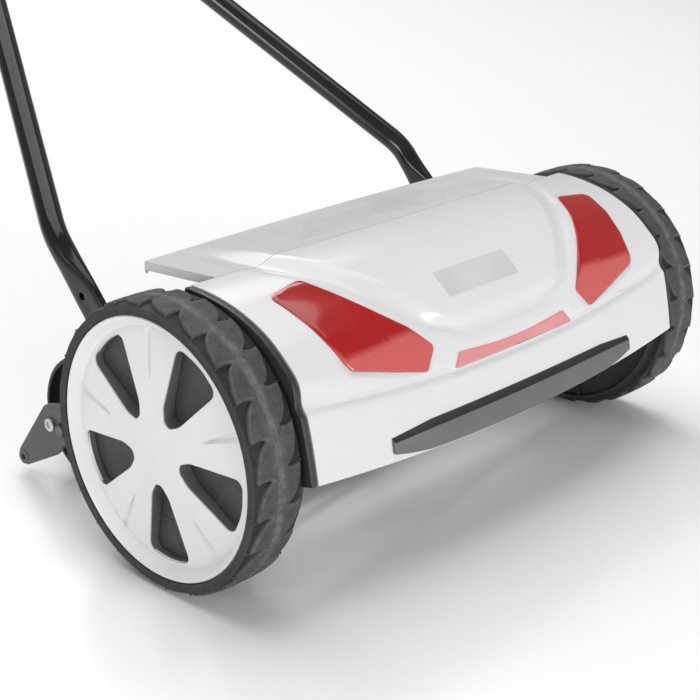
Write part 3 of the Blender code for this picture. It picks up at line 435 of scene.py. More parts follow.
def add_bevel(obj, width, segments=3, angle=30):
    bevel = obj.modifiers.new("rounded edges", "BEVEL")
    bevel.width = width
    bevel.segments = segments
    bevel.limit_method = "ANGLE"
    bevel.angle_limit = math.radians(angle)
    bevel.harden_normals = True


def grid_faces(bm, rows, close_rows=False, close_columns=False):
    """Quads through rows of vertices."""
    count = len(rows[0])
    pairs = list(zip(rows, rows[1:]))
    if close_rows:
        pairs.append((rows[-1], rows[0]))
    for low, high in pairs:
        for i in range(count if close_columns else count - 1):
            j = (i + 1) % count
            bm.faces.new((low[i], low[j], high[j], high[i]))


def polar(centre, radius, angle):
    return centre[0] + radius * math.cos(angle), centre[1] + radius * math.sin(angle)


def turned(name, profile, centre, steps=96, side=1):
    """A piece turned about X. The profile lists (x, radius) and either closes or ends on the axis."""
    bm = bmesh.new()
    rows = []
    for x, radius in profile:
        if not radius:
            rows.append([bm.verts.new((side * x, *centre))])
            continue
        row = []
        for i in range(steps):
            angle = 2 * math.pi * i / steps
            row.append(bm.verts.new((side * x, *polar(centre, radius, angle))))
        rows.append(row)
    pairs = list(zip(rows, rows[1:]))
    if profile[0][1]:
        pairs.append((rows[-1], rows[0]))
    for a, b in pairs:
        for i in range(steps):
            j = (i + 1) % steps
            corners = [a[i % len(a)], a[j % len(a)], b[j % len(b)], b[i % len(b)]]
            bm.faces.new(list(dict.fromkeys(corners)))
    return new_object(name, bm)


def mirrored(right):
    """The whole of a profile from the left end, given its right half from the middle."""
    return [(-x, radius) for x, radius in reversed(right)] + list(right)


def round_bar(name, centre, half, radius):
    """A bar along X with softened ends."""
    soft = 0.0005
    right = ((half - soft, radius), (half, radius - soft), (half, 0.0))
    return turned(name, mirrored(right), centre, 48)


def loft(name, rings, sharp=30):
    """A closed skin over rings of points, with a flat cap at each end."""
    bm = bmesh.new()
    rows = [[bm.verts.new(point) for point in ring] for ring in rings]
    grid_faces(bm, rows, close_columns=True)
    bm.faces.new(rows[0])
    bm.faces.new(rows[-1])
    return new_object(name, bm, sharp)


def plate(name, outlines, x_range, side=1, rounding=0.0, rounding_steps=3):
    """Closed outlines in (y, z), the first the rim and the others holes, as a plate with rounded rims."""
    curve = bpy.data.curves.new(name, "CURVE")
    curve.dimensions = "2D"
    curve.fill_mode = "BOTH"
    curve.extrude = (x_range[1] - x_range[0]) / 2 - rounding
    curve.bevel_depth = rounding
    curve.bevel_resolution = rounding_steps
    curve.offset = -rounding
    for outline in outlines:
        spline = curve.splines.new("POLY")
        spline.points.add(len(outline) - 1)
        for point, (y, z) in zip(spline.points, outline):
            point.co = (y, z, 0, 1)
        spline.use_cyclic_u = True
    holder = bpy.data.objects.new(name + "_curve", curve)
    bpy.context.scene.collection.objects.link(holder)
    holder.rotation_euler = (math.pi / 2, 0, math.pi / 2)
    holder.location = (side * (x_range[0] + x_range[1]) / 2, 0, 0)
    bpy.context.view_layer.update()
    mesh = bpy.data.meshes.new_from_object(holder.evaluated_get(bpy.context.evaluated_depsgraph_get()))
    bm = bmesh.new()
    bm.from_mesh(mesh)
    bmesh.ops.remove_doubles(bm, verts=bm.verts, dist=0.00001)
    bmesh.ops.transform(bm, matrix=holder.matrix_world, verts=bm.verts)
    bpy.data.objects.remove(holder, do_unlink=True)
    return new_object(name, bm)


def circle(centre, radius, count=48):
    turn = 2 * math.pi / count
    return [polar(centre, radius, i * turn) for i in range(count)]


def rounded_outline(corners, radius, pieces=6):
    """A closed outline in (y, z) with each corner replaced by an arc. A corner may name its own radius."""
    outline = []
    count = len(corners)
    for i in range(count):
        before, corner, after = corners[i - 1], corners[i], corners[(i + 1) % count]
        r = corner[2] if len(corner) > 2 else radius
        a = (Vector(before[:2]) - Vector(corner[:2])).normalized()
        b = (Vector(after[:2]) - Vector(corner[:2])).normalized()
        half = a.angle(b) / 2
        cut = r / math.tan(half)
        middle = Vector(corner[:2]) + (a + b).normalized() * r / math.sin(half)
        start = Vector(corner[:2]) + a * cut - middle
        end = Vector(corner[:2]) + b * cut - middle
        sweep = start.angle_signed(end)
        for k in range(pieces + 1):
            turn = -sweep * k / pieces
            c, s = math.cos(turn), math.sin(turn)
            outline.append((middle.x + start.x * c - start.y * s, middle.y + start.x * s + start.y * c))
    return outline


def smooth(value):
    value = min(1.0, max(0.0, value))
    return value * value * (3 - 2 * value)


def bell(value, middle, width):
    return math.exp(-(((value - middle) / width) ** 2))


def spread(low, high, count):
    return [low + (high - low) * i / (count - 1) for i in range(count)]


def cut(obj, cutter):
    """Takes a closed cutter's shape away from a piece, and the cutter with it."""
    step = obj.modifiers.new("cut", "BOOLEAN")
    step.operation = "DIFFERENCE"
    step.object = cutter
    bpy.context.view_layer.update()
    graph = bpy.context.evaluated_depsgraph_get()
    mesh = bpy.data.meshes.new_from_object(obj.evaluated_get(graph))
    obj.modifiers.remove(step)
    old = obj.data
    obj.data = mesh
    bpy.data.meshes.remove(old)
    bpy.data.objects.remove(cutter, do_unlink=True)


def drill(obj, centre, radius, low, high, side):
    """A round hole along X, from low to high on one side."""
    profile = ((low, 0.0), (low, radius), (high, radius), (high, 0.0))
    cut(obj, turned("drill", profile, centre, 40, side))


# ---- camera, floor and light ----


def camera():
    data = bpy.data.cameras.new("camera")
    data.sensor_width = 36
    data.lens = 81.13
    data.clip_end = 50
    made = bpy.data.objects.new("camera", data)
    bpy.context.scene.collection.objects.link(made)
    forward = Vector((0.6755, 0.6445, -0.3584)).normalized()
    right = Vector((0.6903, -0.7235, 0.0)).normalized()
    up = right.cross(forward).normalized()
    place = Matrix.Translation((-0.9037, -0.8013 + AXLE.y, 0.5761))
    made.matrix_world = place @ Matrix((right, up, -forward)).transposed().to_4x4()
    bpy.context.scene.camera = made


def floor():
    bm = bmesh.new()
    bmesh.ops.create_grid(bm, x_segments=1, y_segments=1, size=60)
    made = new_object("floor", bm, placed=False)
    made.data.materials.append(Nodes("floor", (0.93, 0.928, 0.926), 0.24).material)


def area_light(name, place, target, size, power):
    data = bpy.data.lights.new(name, "AREA")
    data.shape = "RECTANGLE"
    data.size, data.size_y = size
    data.energy = power
    made = bpy.data.objects.new(name, data)
    bpy.context.scene.collection.objects.link(made)
    made.location = place
    made.rotation_euler = (Vector(target) - Vector(place)).to_track_quat("-Z", "Y").to_euler()


def lighting():
    """A pale surround, brightest low in front, with soft boxes overhead and behind and two low lamps."""
    scene = bpy.context.scene
    scene.view_settings.view_transform = "Standard"
    world = bpy.data.worlds.new("studio")
    scene.world = world
    world.use_nodes = True
    tree = world.node_tree
    background = tree.nodes["Background"]
    place = tree.nodes.new("ShaderNodeTexCoord")
    towards = tree.nodes.new("ShaderNodeVectorMath")
    towards.operation = "DOT_PRODUCT"
    tree.links.new(place.outputs["Generated"], towards.inputs[0])
    towards.inputs[1].default_value = (-0.10, -0.45, -0.88)
    fall = tree.nodes.new("ShaderNodeMapRange")
    fall.interpolation_type = "SMOOTHSTEP"
    for socket, value in (("From Min", -0.9), ("From Max", 0.45), ("To Min", 0.24), ("To Max", 0.58)):
        fall.inputs[socket].default_value = value
    tree.links.new(towards.outputs["Value"], fall.inputs["Value"])
    tree.links.new(fall.outputs["Result"], background.inputs["Strength"])
    background.inputs["Color"].default_value = (1.0, 1.0, 1.0, 1.0)
    area_light("overhead", (0.4, 0.6, 3.6), (0.4, 0.6, 0), (4.2, 4.2), 104)
    area_light("behind", (1.4, 3.6, 3.4), (1.4, 3.6, 0), (4.0, 4.0), 150)
    area_light("front", (-0.2, -2.9, 0.45), (0, -0.45, 0.12), (1.8, 0.7), 38)
    area_light("left", (-2.6, -0.6, 0.65), (0, -0.35, 0.12), (0.7, 1.1), 16)


# ---- hood ----


def bezier(points, t):
    while len(points) > 1:
        points = [tuple(p + (q - p) * t for p, q in zip(a, b)) for a, b in zip(points, points[1:])]
    return points[0]


def interpolate(stops, key):
    """Straight-line value between (key, value) stops."""
    if key <= stops[0][0]:
        return stops[0][1]
    for (low, a), (high, b) in zip(stops, stops[1:]):
        if key <= high:
            return a + (b - a) * (key - low) / (high - low)
    return stops[-1][1]


def hood_side(t):
    return bezier(SKIRT, t) if t < 1 else bezier(CROWN, t - 1)


def hood_base(x, t):
    """The hood without its panel and grooves: t runs from 0 to 1 up the skirt, and to 2 over the crown."""
    y, z = hood_side(t)
    middle = 1 - (x / HOOD_HALF_WIDTH) ** 2
    fall = max(0.0, min(1.0, (HOOD_BOW_TOP_Z - z) / (HOOD_BOW_TOP_Z - SKIRT[0][1])))
    y -= HOOD_BOW * math.sqrt(fall) * middle
    z -= HOOD_LOWER_DIP * middle * max(0.0, 1 - t) ** 2
    z += HOOD_TOP_CROWN * middle * smooth(t - 1)
    y += (HOOD_SEAM_SHIFT - HOOD_SEAM_BOW * middle) * smooth((t - 1.4) / 0.6)
    return Vector((x, y, z))


def dome_distance(x, t):
    """How far inside the bonnet panel's edge a point is, in metres along the surface."""
    half = interpolate(DOME_STOPS, t)
    below = (t - DOME_LOW) * CROWN_LENGTH
    beside = (half - abs(x)) * 0.86
    corner = 0.022
    if below < corner and beside < corner:
        return corner - math.hypot(corner - below, corner - beside)
    return min(below, beside)


def shoulder_stretch(x):
    """The profile stretch of the shoulder line, lowest at the middle."""
    share = min(1.0, abs(x) / HOOD_HALF_WIDTH)
    return SHOULDER_MIDDLE + (SHOULDER_SIDE - SHOULDER_MIDDLE) * share**2.2


def hood_relief(x, t):
    """Height over the plain hood: the raised panel, the groove round it and the shoulder step."""
    inside = dome_distance(x, t)
    rise = DOME_RISE * smooth(inside / DOME_EDGE)
    rise -= 0.0017 * bell(inside, -0.0036, 0.0060)
    along = (t - shoulder_stretch(x)) * 0.062
    rise -= 0.0030 * bell(along, 0.0, 0.0044)
    rise += 0.0016 * bell(along, 0.0105, 0.006)
    return rise * clear_of_lenses(x, t)


def plain_hood_point(x, t, lift=0.0):
    """A point of the plain hood, that far outside it."""
    step = 0.01
    along_t = hood_base(x, min(t + step, 2.0)) - hood_base(x, max(t - step, 0.0))
    along_x = hood_base(x + step, t) - hood_base(x - step, t)
    return hood_base(x, t) + along_x.cross(along_t).normalized() * lift


def hood_point(x, t, lift=0.0):
    return plain_hood_point(x, t, lift + hood_relief(x, t))


def surface_outline(corners, mirrored=False):
    """A rounded outline on the hood in surface metres: x, and the stretch times the crown's length."""
    sign = -1 if mirrored else 1
    placed = [(sign * x, t * CROWN_LENGTH, radius) for x, t, radius in corners]
    return rounded_outline(placed[::sign], 0.004, 5)


def inside_distance(outline, x, s):
    """Signed distance to a closed outline, positive inside."""
    nearest = 1.0
    inside = False
    for (ax, ay), (bx, by) in zip(outline, outline[1:] + outline[:1]):
        dx, dy = bx - ax, by - ay
        share = ((x - ax) * dx + (s - ay) * dy) / max(dx * dx + dy * dy, 1e-12)
        share = max(0.0, min(1.0, share))
        nearest = min(nearest, math.hypot(ax + dx * share - x, ay + dy * share - s))
        if (ay > s) != (by > s) and x < dx * (s - ay) / dy + ax:
            inside = not inside
    return nearest if inside else -nearest


def box_of(outline):
    return tuple(limit(point[axis] for point in outline) for axis in (0, 1) for limit in (min, max))


def near(box, x, y, margin):
    low_x, high_x, low_y, high_y = box
    return low_x - margin < x < high_x + margin and low_y - margin < y < high_y + margin


LENSES = (
    ("red_lens_right", surface_outline(LENS_CORNERS), "red_lens"),
    ("red_lens_left", surface_outline(LENS_CORNERS, True), "red_lens"),
    ("centre_lens", surface_outline(STRIP_CORNERS), "centre_lens"),
)
LENS_BOXES = [box_of(edge) for name, edge, slot in LENSES]


def clear_of_lenses(x, t):
    """0 under a lens, where the hood is left plain, rising to 1 a little way outside it."""
    s = t * CROWN_LENGTH
    share = 1.0
    for box, (name, outline, slot) in zip(LENS_BOXES, LENSES):
        if near(box, x, s, LENS_MARGIN):
            share = min(share, smooth(-inside_distance(outline, x, s) / LENS_MARGIN))
    return share


def hood():
    """The white shell, from its lower edge over the crown to the seam."""
    bm = bmesh.new()
    xs = spread(-HOOD_HALF_WIDTH, HOOD_HALF_WIDTH, 271)
    grid_faces(bm, [[bm.verts.new(hood_point(x, t)) for x in xs] for t in spread(0.0, 2.0, 201)])
    shell = new_object("hood_shell", bm)
    thicken(shell, HOOD_WALL)
    add_bevel(shell, 0.0007, 3, 60)
    wear(shell, "chassis", "white_shell", "hood")


def inset(outline, distance):
    """The outline moved inwards by a distance. It runs anticlockwise."""
    moved_in = []
    count = len(outline)
    for i in range(count):
        ahead = Vector(outline[(i + 1) % count]) - Vector(outline[i])
        behind = Vector(outline[i]) - Vector(outline[i - 1])
        if ahead.length < 1e-7 or behind.length < 1e-7:
            moved_in.append(outline[i])
            continue
        normal = (ahead.normalized() + behind.normalized()).orthogonal().normalized()
        moved_in.append((outline[i][0] + normal.x * distance, outline[i][1] + normal.y * distance))
    return moved_in


def anticlockwise(outline):
    doubled = sum(a[0] * b[1] - b[0] * a[1] for a, b in zip(outline, outline[1:] + outline[:1]))
    return outline if doubled > 0 else outline[::-1]


def filled(outline, step, lines=()):
    """Points and triangles that fill an outline evenly, keeping edges along the given lines."""
    points = [Vector(p) for p in outline]
    count = len(points)
    edges = [(i, (i + 1) % count) for i in range(count)]
    for line in lines:
        kept = [p for p in line if inside_distance(outline, *p) > step * 0.15]
        first = len(points)
        points += [Vector(p) for p in kept]
        edges += [(first + i, first + i + 1) for i in range(len(kept) - 1)]
    low_x, high_x, low_y, high_y = box_of(points)
    for i in range(int((high_x - low_x) / step) + 1):
        for k in range(int((high_y - low_y) / step) + 1):
            place = (low_x + (i + 0.5 * (k % 2)) * step, low_y + k * step)
            near_line = any(math.dist(place, p) < step * 0.6 for line in lines for p in line)
            if inside_distance(outline, *place) > step * 0.5 and not near_line:
                points.append(Vector(place))
    made = delaunay_2d_cdt(points, edges, [], 1, 1e-7)
    sources = [ids[0] if ids else -1 for ids in made[3]]
    return made[0], made[2], sources


def panel(name, outline, step, place_at, edge, lines=()):
    """A thin closed panel on a curved face: place_at gives the point for (x, s, height), edge its rim."""
    outline = anticlockwise(outline)
    bm = bmesh.new()
    rings = []
    for into, height in edge:
        ring = inset(outline, into) if into else outline
        rings.append([bm.verts.new(place_at(x, s, height)) for x, s in ring])
    for ring, (into, height) in ((rings[-1], edge[-1]), (rings[0], edge[0])):
        border = inset(outline, into) if into else outline
        points, faces, sources = filled(border, step, lines)
        verts = []
        for point, source in zip(points, sources):
            if 0 <= source < len(border):
                verts.append(ring[source])
            else:
                verts.append(bm.verts.new(place_at(point.x, point.y, height)))
        for face in faces:
            corners = list(dict.fromkeys(verts[i] for i in face))
            if len(corners) == 3 and not bm.faces.get(corners):
                bm.faces.new(corners)
    grid_faces(bm, rings, close_columns=True)
    return new_object(name, bm, 35)


def lens(name, outline, slot):
    """A lens that follows the hood's face, with a rounded rim. The side ones are folded along a ridge and
    painted paler below it as a painted reflection.
    """
    side = -1 if name.endswith("left") else 1
    folded = slot == "red_lens"
    start, end = [Vector((side * x, t * CROWN_LENGTH)) for x, t in LENS_RIDGE]
    line = [tuple(start.lerp(end, share)) for share in spread(-0.1, 1.1, 40)] if folded else []
    across = (end - start).orthogonal().normalized()
    if across.y > 0:
        across.negate()
    below = []

    def place_at(x, s, height):
        off = (Vector((x, s)) - start).dot(across)
        # share below the ridge, where the lens is painted paler as a painted reflection
        below.append(smooth(0.5 + off / 0.0008))
        fold = 0.0016 * max(0.0, 1 - abs(off) / 0.028) if folded else 0.0
        return plain_hood_point(x, s / CROWN_LENGTH, height + fold)

    edge = ((0.0, -0.0006), (0.0, 0.0005), (0.0002, 0.0009), (0.0006, 0.0011))
    made = panel(name + "_panel", outline, 0.0030, place_at, edge, [line] if folded else [])
    point_values(made, "painted_reflection", below)
    wear(made, "chassis", slot, name)


def badge():
    """A plain silver plate on the bonnet panel."""
    left, right, low, high = -0.052, 0.030, 1.375, 1.545
    corners = [(x, t, 0.0015) for x, t in ((left, low), (right, low), (right, high), (left, high))]

    def place_at(x, s, height):
        return hood_point(x, s / CROWN_LENGTH, height)

    edge = ((0.0, -0.0004), (0.0, 0.0003), (0.0002, 0.0005))
    made = panel("badge_plate", surface_outline(corners), 0.0040, place_at, edge)
    wear(made, "chassis", "white_shell", look="silver")


def skirt_face(x, z):
    """Where the plain skirt's outer face is, at that height."""
    stops = [(hood_base(x, i / 30).z, i / 30) for i in range(25)]
    return hood_base(x, interpolate(stops, z)).y


def bumper():
    """The dark bar along the skirt's lower edge, its upward faces in a darker material as painted shade."""
    half, slant_length = 0.1454, 0.040
    rings = []
    for x in spread(-half, half, 121):
        slant = min(1.0, (half - abs(x)) / slant_length)
        low = hood_base(x, 0.0).z + 0.0030 + 0.0035 * (1 - slant) ** 2
        proud = 0.0050 * (0.5 + 0.5 * slant)
        crease = 0.1170 - 0.0020 * (1 - slant)
        top = 0.1202 - 0.0030 * (1 - slant)
        sunk = 0.0012
        section = (
            (-sunk, low), (proud - 0.0006, low), (proud - 0.0001, low + 0.0004), (proud, low + 0.0011),
            (proud, crease - 0.0008), (proud - 0.0003, crease), (proud - 0.0009, crease + 0.0006),
            (0.0002, top), (-sunk, top),
        )
        rings.append([(x, skirt_face(x, z) - 0.0002 - back, z) for back, z in section])
    made = loft("bumper_bar", rings, sharp=40)
    for look in ("bumper_plastic", "bumper_band"):
        made.data.materials.append(MATERIALS[look])
    # faces that look upwards take the darker material, painted shade on the bar's top
    for face in made.data.polygons:
        face.material_index = int(face.normal.z > 0.45)
    add_bevel(made, 0.0006, 2, 50)
    wear(made, "chassis", "bumper_plastic", "front_bumper")


def deflector_point(u, share):
    """The rear plate's top face: u across from -1 to 1, share from 0 at the rear to 1 at the hood."""
    rear_y, rear_z = DEFLECTOR_REAR
    x = u * DEFLECTOR_HALF_WIDTH
    front = hood_base(x, 2.0)
    raised = hood_relief(x, 2.0)
    end_z = rear_z + 0.002 * (1 - u * u)
    y = front.y + SEAM_GAP + (rear_y - front.y) * (1 - share)
    z = front.z + (end_z - front.z) * (1 - share) + raised * smooth(share / 0.9)
    return [x, y, z]


def deflector():
    """The plate behind the hood, carrying on its raised panel, with rounded turned-down edges."""
    rim = 0.0070
    bm = bmesh.new()
    grid = []
    for share in [None] + spread(0.0, 1.0, 61):
        row = [deflector_point(u, share or 0.0) for u in [-1.0] + spread(-1.0, 1.0, 161) + [1.0]]
        row[0][2] -= rim
        row[-1][2] -= rim
        if share is None:
            for place in row:
                place[2] = DEFLECTOR_REAR[1] - rim
        grid.append([bm.verts.new(place) for place in row])
    grid_faces(bm, grid)
    made = new_object("deflector_panel", bm)
    thicken(made, 0.0024)
    add_bevel(made, 0.0010, 3)
    wear(made, "chassis", "white_shell", "rear_deflector")

    def place_at(x, y, height):
        front = hood_base(x, 2.0).y + SEAM_GAP
        share = 1 - (y - front) / (DEFLECTOR_REAR[0] - front)
        point = deflector_point(x / DEFLECTOR_HALF_WIDTH, max(0.0, min(1.0, share)))
        return Vector(point) + Vector((0, 0, height))

    corners = [(-0.105, 0.010, 0.004), (0.060, 0.010, 0.010), (0.105, 0.060, 0.016), (-0.060, 0.060, 0.006)]
    outline = rounded_outline(corners, 0.008)
    edge = ((0.0, -0.0008), (0.0, 0.0001), (0.0002, 0.0003))
    field = panel("deflector_field", outline, 0.0060, place_at, edge)
    wear(field, "chassis", "white_shell", look="silver")


# ---- wheels ----


def pocket_depth(phase, from_edge, pitch_length, half_width):
    """Depth in metres inside a fin-shaped pocket: wide where it starts, with a curved far side.

    phase runs from 0 to 1 along the pitch, from_edge from 0 at the tread's side to 1 at its middle.
    """
    reach = 0.82
    q = from_edge / reach
    if q > 1.08:
        return 0.0
    start = 0.06 * q**3 - 0.06 * math.sin(math.pi * min(q, 1.0))
    best = -1.0
    for p in (phase, phase - 1):
        left = min(1.0, max(0.0, 1 - p))
        width = 0.12 + 0.88 * (1 - math.sqrt(1 - left * left))
        across = (width - q) * reach * half_width
        along = (p - start) * pitch_length
        best = max(best, min(across, along * 0.9, (1.0 - q) * reach * half_width + 0.0012))
    return best


def tyre(label, side):
    """A tyre whose smooth tread is cut by a row of fin-shaped pockets along each edge."""
    middle = (TYRE_INNER + TYRE_OUTER) / 2
    half = (TYRE_OUTER - TYRE_INNER) / 2
    pitch = 2 * math.pi / TREAD_LOBES
    pitch_length = pitch * TYRE_RADIUS
    depth = 0.0030
    steps = TREAD_LOBES * 36
    shoulder = (
        (0.0, 0.0995), (0.0, 0.1018), (0.0004, 0.1026), (0.0002, 0.1034), (0.0, 0.1046), (0.0001, 0.1062),
    )
    bm = bmesh.new()
    rows = []
    dust_and_painted_light = []
    for i in range(steps):
        angle = 2 * math.pi * i / steps
        # shoulders at 0.25, which darkens them a little as painted shade
        place = [(TYRE_INNER + x, radius, 0.25) for x, radius in shoulder]
        for u in spread(-1.0, 1.0, 57):
            forward = angle / pitch + 0.28 if u > 0 else 0.5 - angle / pitch
            inside = pocket_depth(forward % 1.0, 1 - abs(u), pitch_length, half)
            sunk = smooth(inside / 0.0011)
            # rim: painted highlight along each pocket's edge
            rim = bell(inside, -0.0005, 0.0008)
            crown = TYRE_RADIUS - 0.0010 * abs(u) ** 3 - 0.0005 * smooth((0.0012 + inside) / 0.0012)
            radius = crown - (depth - 0.0008 * abs(u)) * sunk
            top = (1 - sunk) * (0.42 + 0.58 * bell(u, 0.0, 0.20))
            place.append((middle + u * (half - 0.0007), radius, min(1.0, top + 0.45 * rim)))
        place += [(TYRE_OUTER - x, radius, 0.25) for x, radius in reversed(shoulder)]
        rows.append([bm.verts.new((side * x, *polar(WHEEL, radius, angle))) for x, radius, height in place])
        dust_and_painted_light += [height for x, radius, height in place]
    grid_faces(bm, rows, close_rows=True, close_columns=True)
    made = new_object(f"tyre_{label}_tread", bm, 50)
    # the 'wear' values carry dust, painted highlight on the pocket rims and painted shade in the pockets
    point_values(made, "wear", dust_and_painted_light)
    wear(made, f"{label}_wheel", "tyre_rubber", f"tyre_{label}")


def opening_outline(centre_angle):
    """One cover opening about the axle: a sector with rounded corners, narrow and round at its inner end."""
    low, high = OPENING_RADII
    corners = []
    for radius, turn, rounding in (
        (high, -1, 0.0070), (high + 0.0016, 0, 0.05), (high, 1, 0.0070),
        (low + 0.010, 1, 0.020), (low, 0.45, 0.0055), (low, -0.45, 0.0055), (low + 0.010, -1, 0.020),
    ):
        corners.append((*polar((0, 0), radius, centre_angle + OPENING_HALF_ANGLE * turn), rounding))
    return anticlockwise(rounded_outline(corners, 0.006, 7))


def cover_profile_x(radius):
    """The cover's outer face: flat hub, shallow dish, then the lip that slopes up to the rim."""
    return interpolate(
        (
            (0.0, 0.2644), (0.020, 0.2643), (0.030, 0.2637), (0.055, 0.2622), (0.080, 0.2603),
            (0.0880, 0.2596), (0.0893, 0.2588), (0.0903, 0.2582), (0.0912, 0.2590), (0.0935, 0.2622),
            (0.0962, 0.2656), (0.0972, 0.2662), (0.0981, 0.2663), (0.0988, 0.2658), (COVER_RADIUS, 0.2650),
        ),
        radius,
    )


def groove_share(radius):
    """How far along a spoke's groove a radius is, from 0 to 1."""
    low, high = GROOVE_RADII
    return (radius - low) / (high - low)


def groove_half_width(radius):
    along = groove_share(radius)
    return 0.0005 + 0.0038 * smooth(0.5 + 0.5 * along) * along**0.7


def groove_depth(angle, radius):
    """The V groove down the middle of each spoke, widening outwards."""
    end = GROOVE_RADII[1] + 0.0006
    if not GROOVE_RADII[0] < radius < end:
        return 0.0
    spoke = 2 * math.pi / COVER_SPOKES
    off = (angle - OPENING_PHASE - spoke / 2) % spoke
    off = min(off, spoke - off) * radius
    along = groove_share(radius)
    depth = 0.0036 * smooth(along / 0.30) * (1 - 0.3 * along) * smooth((end - radius) / 0.0012)
    return depth * max(0.0, 1 - off / groove_half_width(radius))


def cover_front(side):
    """The cover's face as one filled outline with five holes, lifted to its profile."""
    points = []
    edges = []

    def add_line(line, closed=False):
        first = len(points)
        points.extend(Vector(p) for p in line)
        edges.extend((first + i, first + i + 1) for i in range(len(line) - 1))
        if closed:
            edges.append((first + len(line) - 1, first))

    for radius in (COVER_RADIUS, 0.0988, 0.0981, 0.0972, 0.0962, 0.0935, 0.0912, 0.0903, 0.0893):
        add_line(circle((0, 0), radius, 240), True)
    openings = []
    for k in range(COVER_SPOKES):
        openings.append(opening_outline(OPENING_PHASE + 2 * math.pi * k / COVER_SPOKES))
        add_line(openings[-1], True)
        spoke = OPENING_PHASE + math.pi / COVER_SPOKES + 2 * math.pi * k / COVER_SPOKES
        along = spread(GROOVE_RADII[0], GROOVE_RADII[1] - 0.0022, 24)
        for turn in (-1, 0, 1):
            add_line([polar((0, 0), r, spoke + turn * groove_half_width(r) / r) for r in along])
    step = 0.0026
    reach = int(0.089 / step)
    boxes = [box_of(outline) for outline in openings]

    def in_opening(x, y, margin):
        return any(
            near(box, x, y, margin) and inside_distance(outline, x, y) > -margin
            for box, outline in zip(boxes, openings)
        )

    for i in range(-reach, reach + 1):
        for k in range(-reach, reach + 1):
            x, y = (i + 0.5 * (k % 2)) * step, k * step
            if math.hypot(x, y) < 0.0880 and not in_opening(x, y, step * 0.4):
                points.append(Vector((x, y)))
    made = delaunay_2d_cdt(points, edges, [], 0, 1e-7)
    bm = bmesh.new()
    verts = []
    for point in made[0]:
        radius, angle = point.length, math.atan2(point.y, point.x)
        x = cover_profile_x(radius) - groove_depth(angle, radius)
        verts.append(bm.verts.new((side * x, point.x, AXLE.z + point.y)))
    for face in made[2]:
        middle = sum((made[0][i] for i in face), Vector((0, 0))) / len(face)
        if middle.length < COVER_RADIUS and not in_opening(middle.x, middle.y, 0.0):
            bm.faces.new([verts[i] for i in face])
    bmesh.ops.delete(bm, geom=[v for v in bm.verts if not v.link_faces], context="VERTS")
    for face in bm.faces:
        face.normal_update()
        if face.normal.x * side < 0:
            face.normal_flip()
    return bm, openings


def wheel_cover(label, side):
    """The pale cover: five deep openings whose walls are coloured dark grey as painted shade, a groove on
    each spoke and a raised rim.
    """
    bm, openings = cover_front(side)
    cover = new_object(f"wheel_cover_{label}_face", bm, 24, recalculated=False)
    thicken(cover, 0.0022, even=False)
    add_bevel(cover, 0.0009, 3, 60)
    wear(cover, f"{label}_wheel", "wheel_cover", f"wheel_cover_{label}")
    bm = bmesh.new()
    for outline in openings:
        rings = []
        for into, x in ((0.0004, None), (0.0009, 0.2530), (-0.0006, 0.2530), (-0.0006, None)):
            ring = []
            for y, z in inset(outline, into):
                face_x = cover_profile_x(math.hypot(y, z)) - 0.0010
                ring.append(bm.verts.new((side * (face_x if x is None else x), y, AXLE.z + z)))
            rings.append(ring)
        grid_faces(bm, rings, close_rows=True, close_columns=True)
    # walls coloured dark grey: painted shade inside the openings
    walls = new_object(f"cover_walls_{label}", bm, 40)
    wear(walls, f"{label}_wheel", "grey_plastic", f"wheel_cover_{label}", look="wall_plastic")


def rim(label, side):
    """The black wheel body: barrel with rounded beads, a ribbed disc and the hub."""
    profile = (
        (0.2235, 0.0975), (0.2239, 0.0988), (0.2250, 0.0992), (0.2622, 0.0992), (0.2632, 0.0989),
        (0.2636, 0.0980), (0.2636, 0.0948), (0.2630, 0.0942), (0.2532, 0.0940), (0.2526, 0.0935),
        (0.2525, 0.0900), (0.2525, 0.0620), (0.2531, 0.0610), (0.2531, 0.0585), (0.2525, 0.0575),
        (0.2525, 0.0225), (0.2532, 0.0200), (0.2550, 0.0190), (0.2575, 0.0190), (0.2580, 0.0185),
        (0.2580, 0.0118), (0.2390, 0.0118), (0.2390, 0.0185), (0.2395, 0.0190), (0.2470, 0.0190),
        (0.2485, 0.0205), (0.2485, 0.0930), (0.2478, 0.0942), (0.2240, 0.0946), (0.2235, 0.0951),
    )
    made = turned(f"rim_{label}_body", profile, WHEEL, 160, side)
    wear(made, f"{label}_wheel", "black_plastic", f"rim_{label}", look="disc_plastic")


def gear_outline(centre, teeth, phase, internal):
    """Straight-flanked teeth with rounded corners, one of them at the phase angle."""
    pitch_radius = GEAR_MODULE * teeth / 2
    outward = -1 if internal else 1
    corners = []
    for i in range(teeth):
        tooth = phase + 2 * math.pi * i / teeth
        for level, flank in ((-0.0022, 1), (0.0018, 1), (0.0018, -1), (-0.0022, -1)):
            radius = pitch_radius + outward * level
            half = 0.0013 - level * math.tan(math.radians(20))
            corners.append(polar(centre, radius, tooth - flank * half / radius))
    return rounded_outline(corners, 0.00035, 2)


def ring_gear(label, side):
    """The internal gear inside the wheel, with a tooth gap where the pinion meets it."""
    teeth = gear_outline(WHEEL, RING_TEETH, REEL_ANGLE + math.pi / RING_TEETH, True)
    outlines = [circle(WHEEL, 0.0560, 160), teeth]
    made = plate(f"ring_gear_{label}_teeth", outlines, (0.2262, 0.2482), side, 0.0003, 1)
    wear(made, f"{label}_wheel", "grey_plastic", f"ring_gear_{label}")


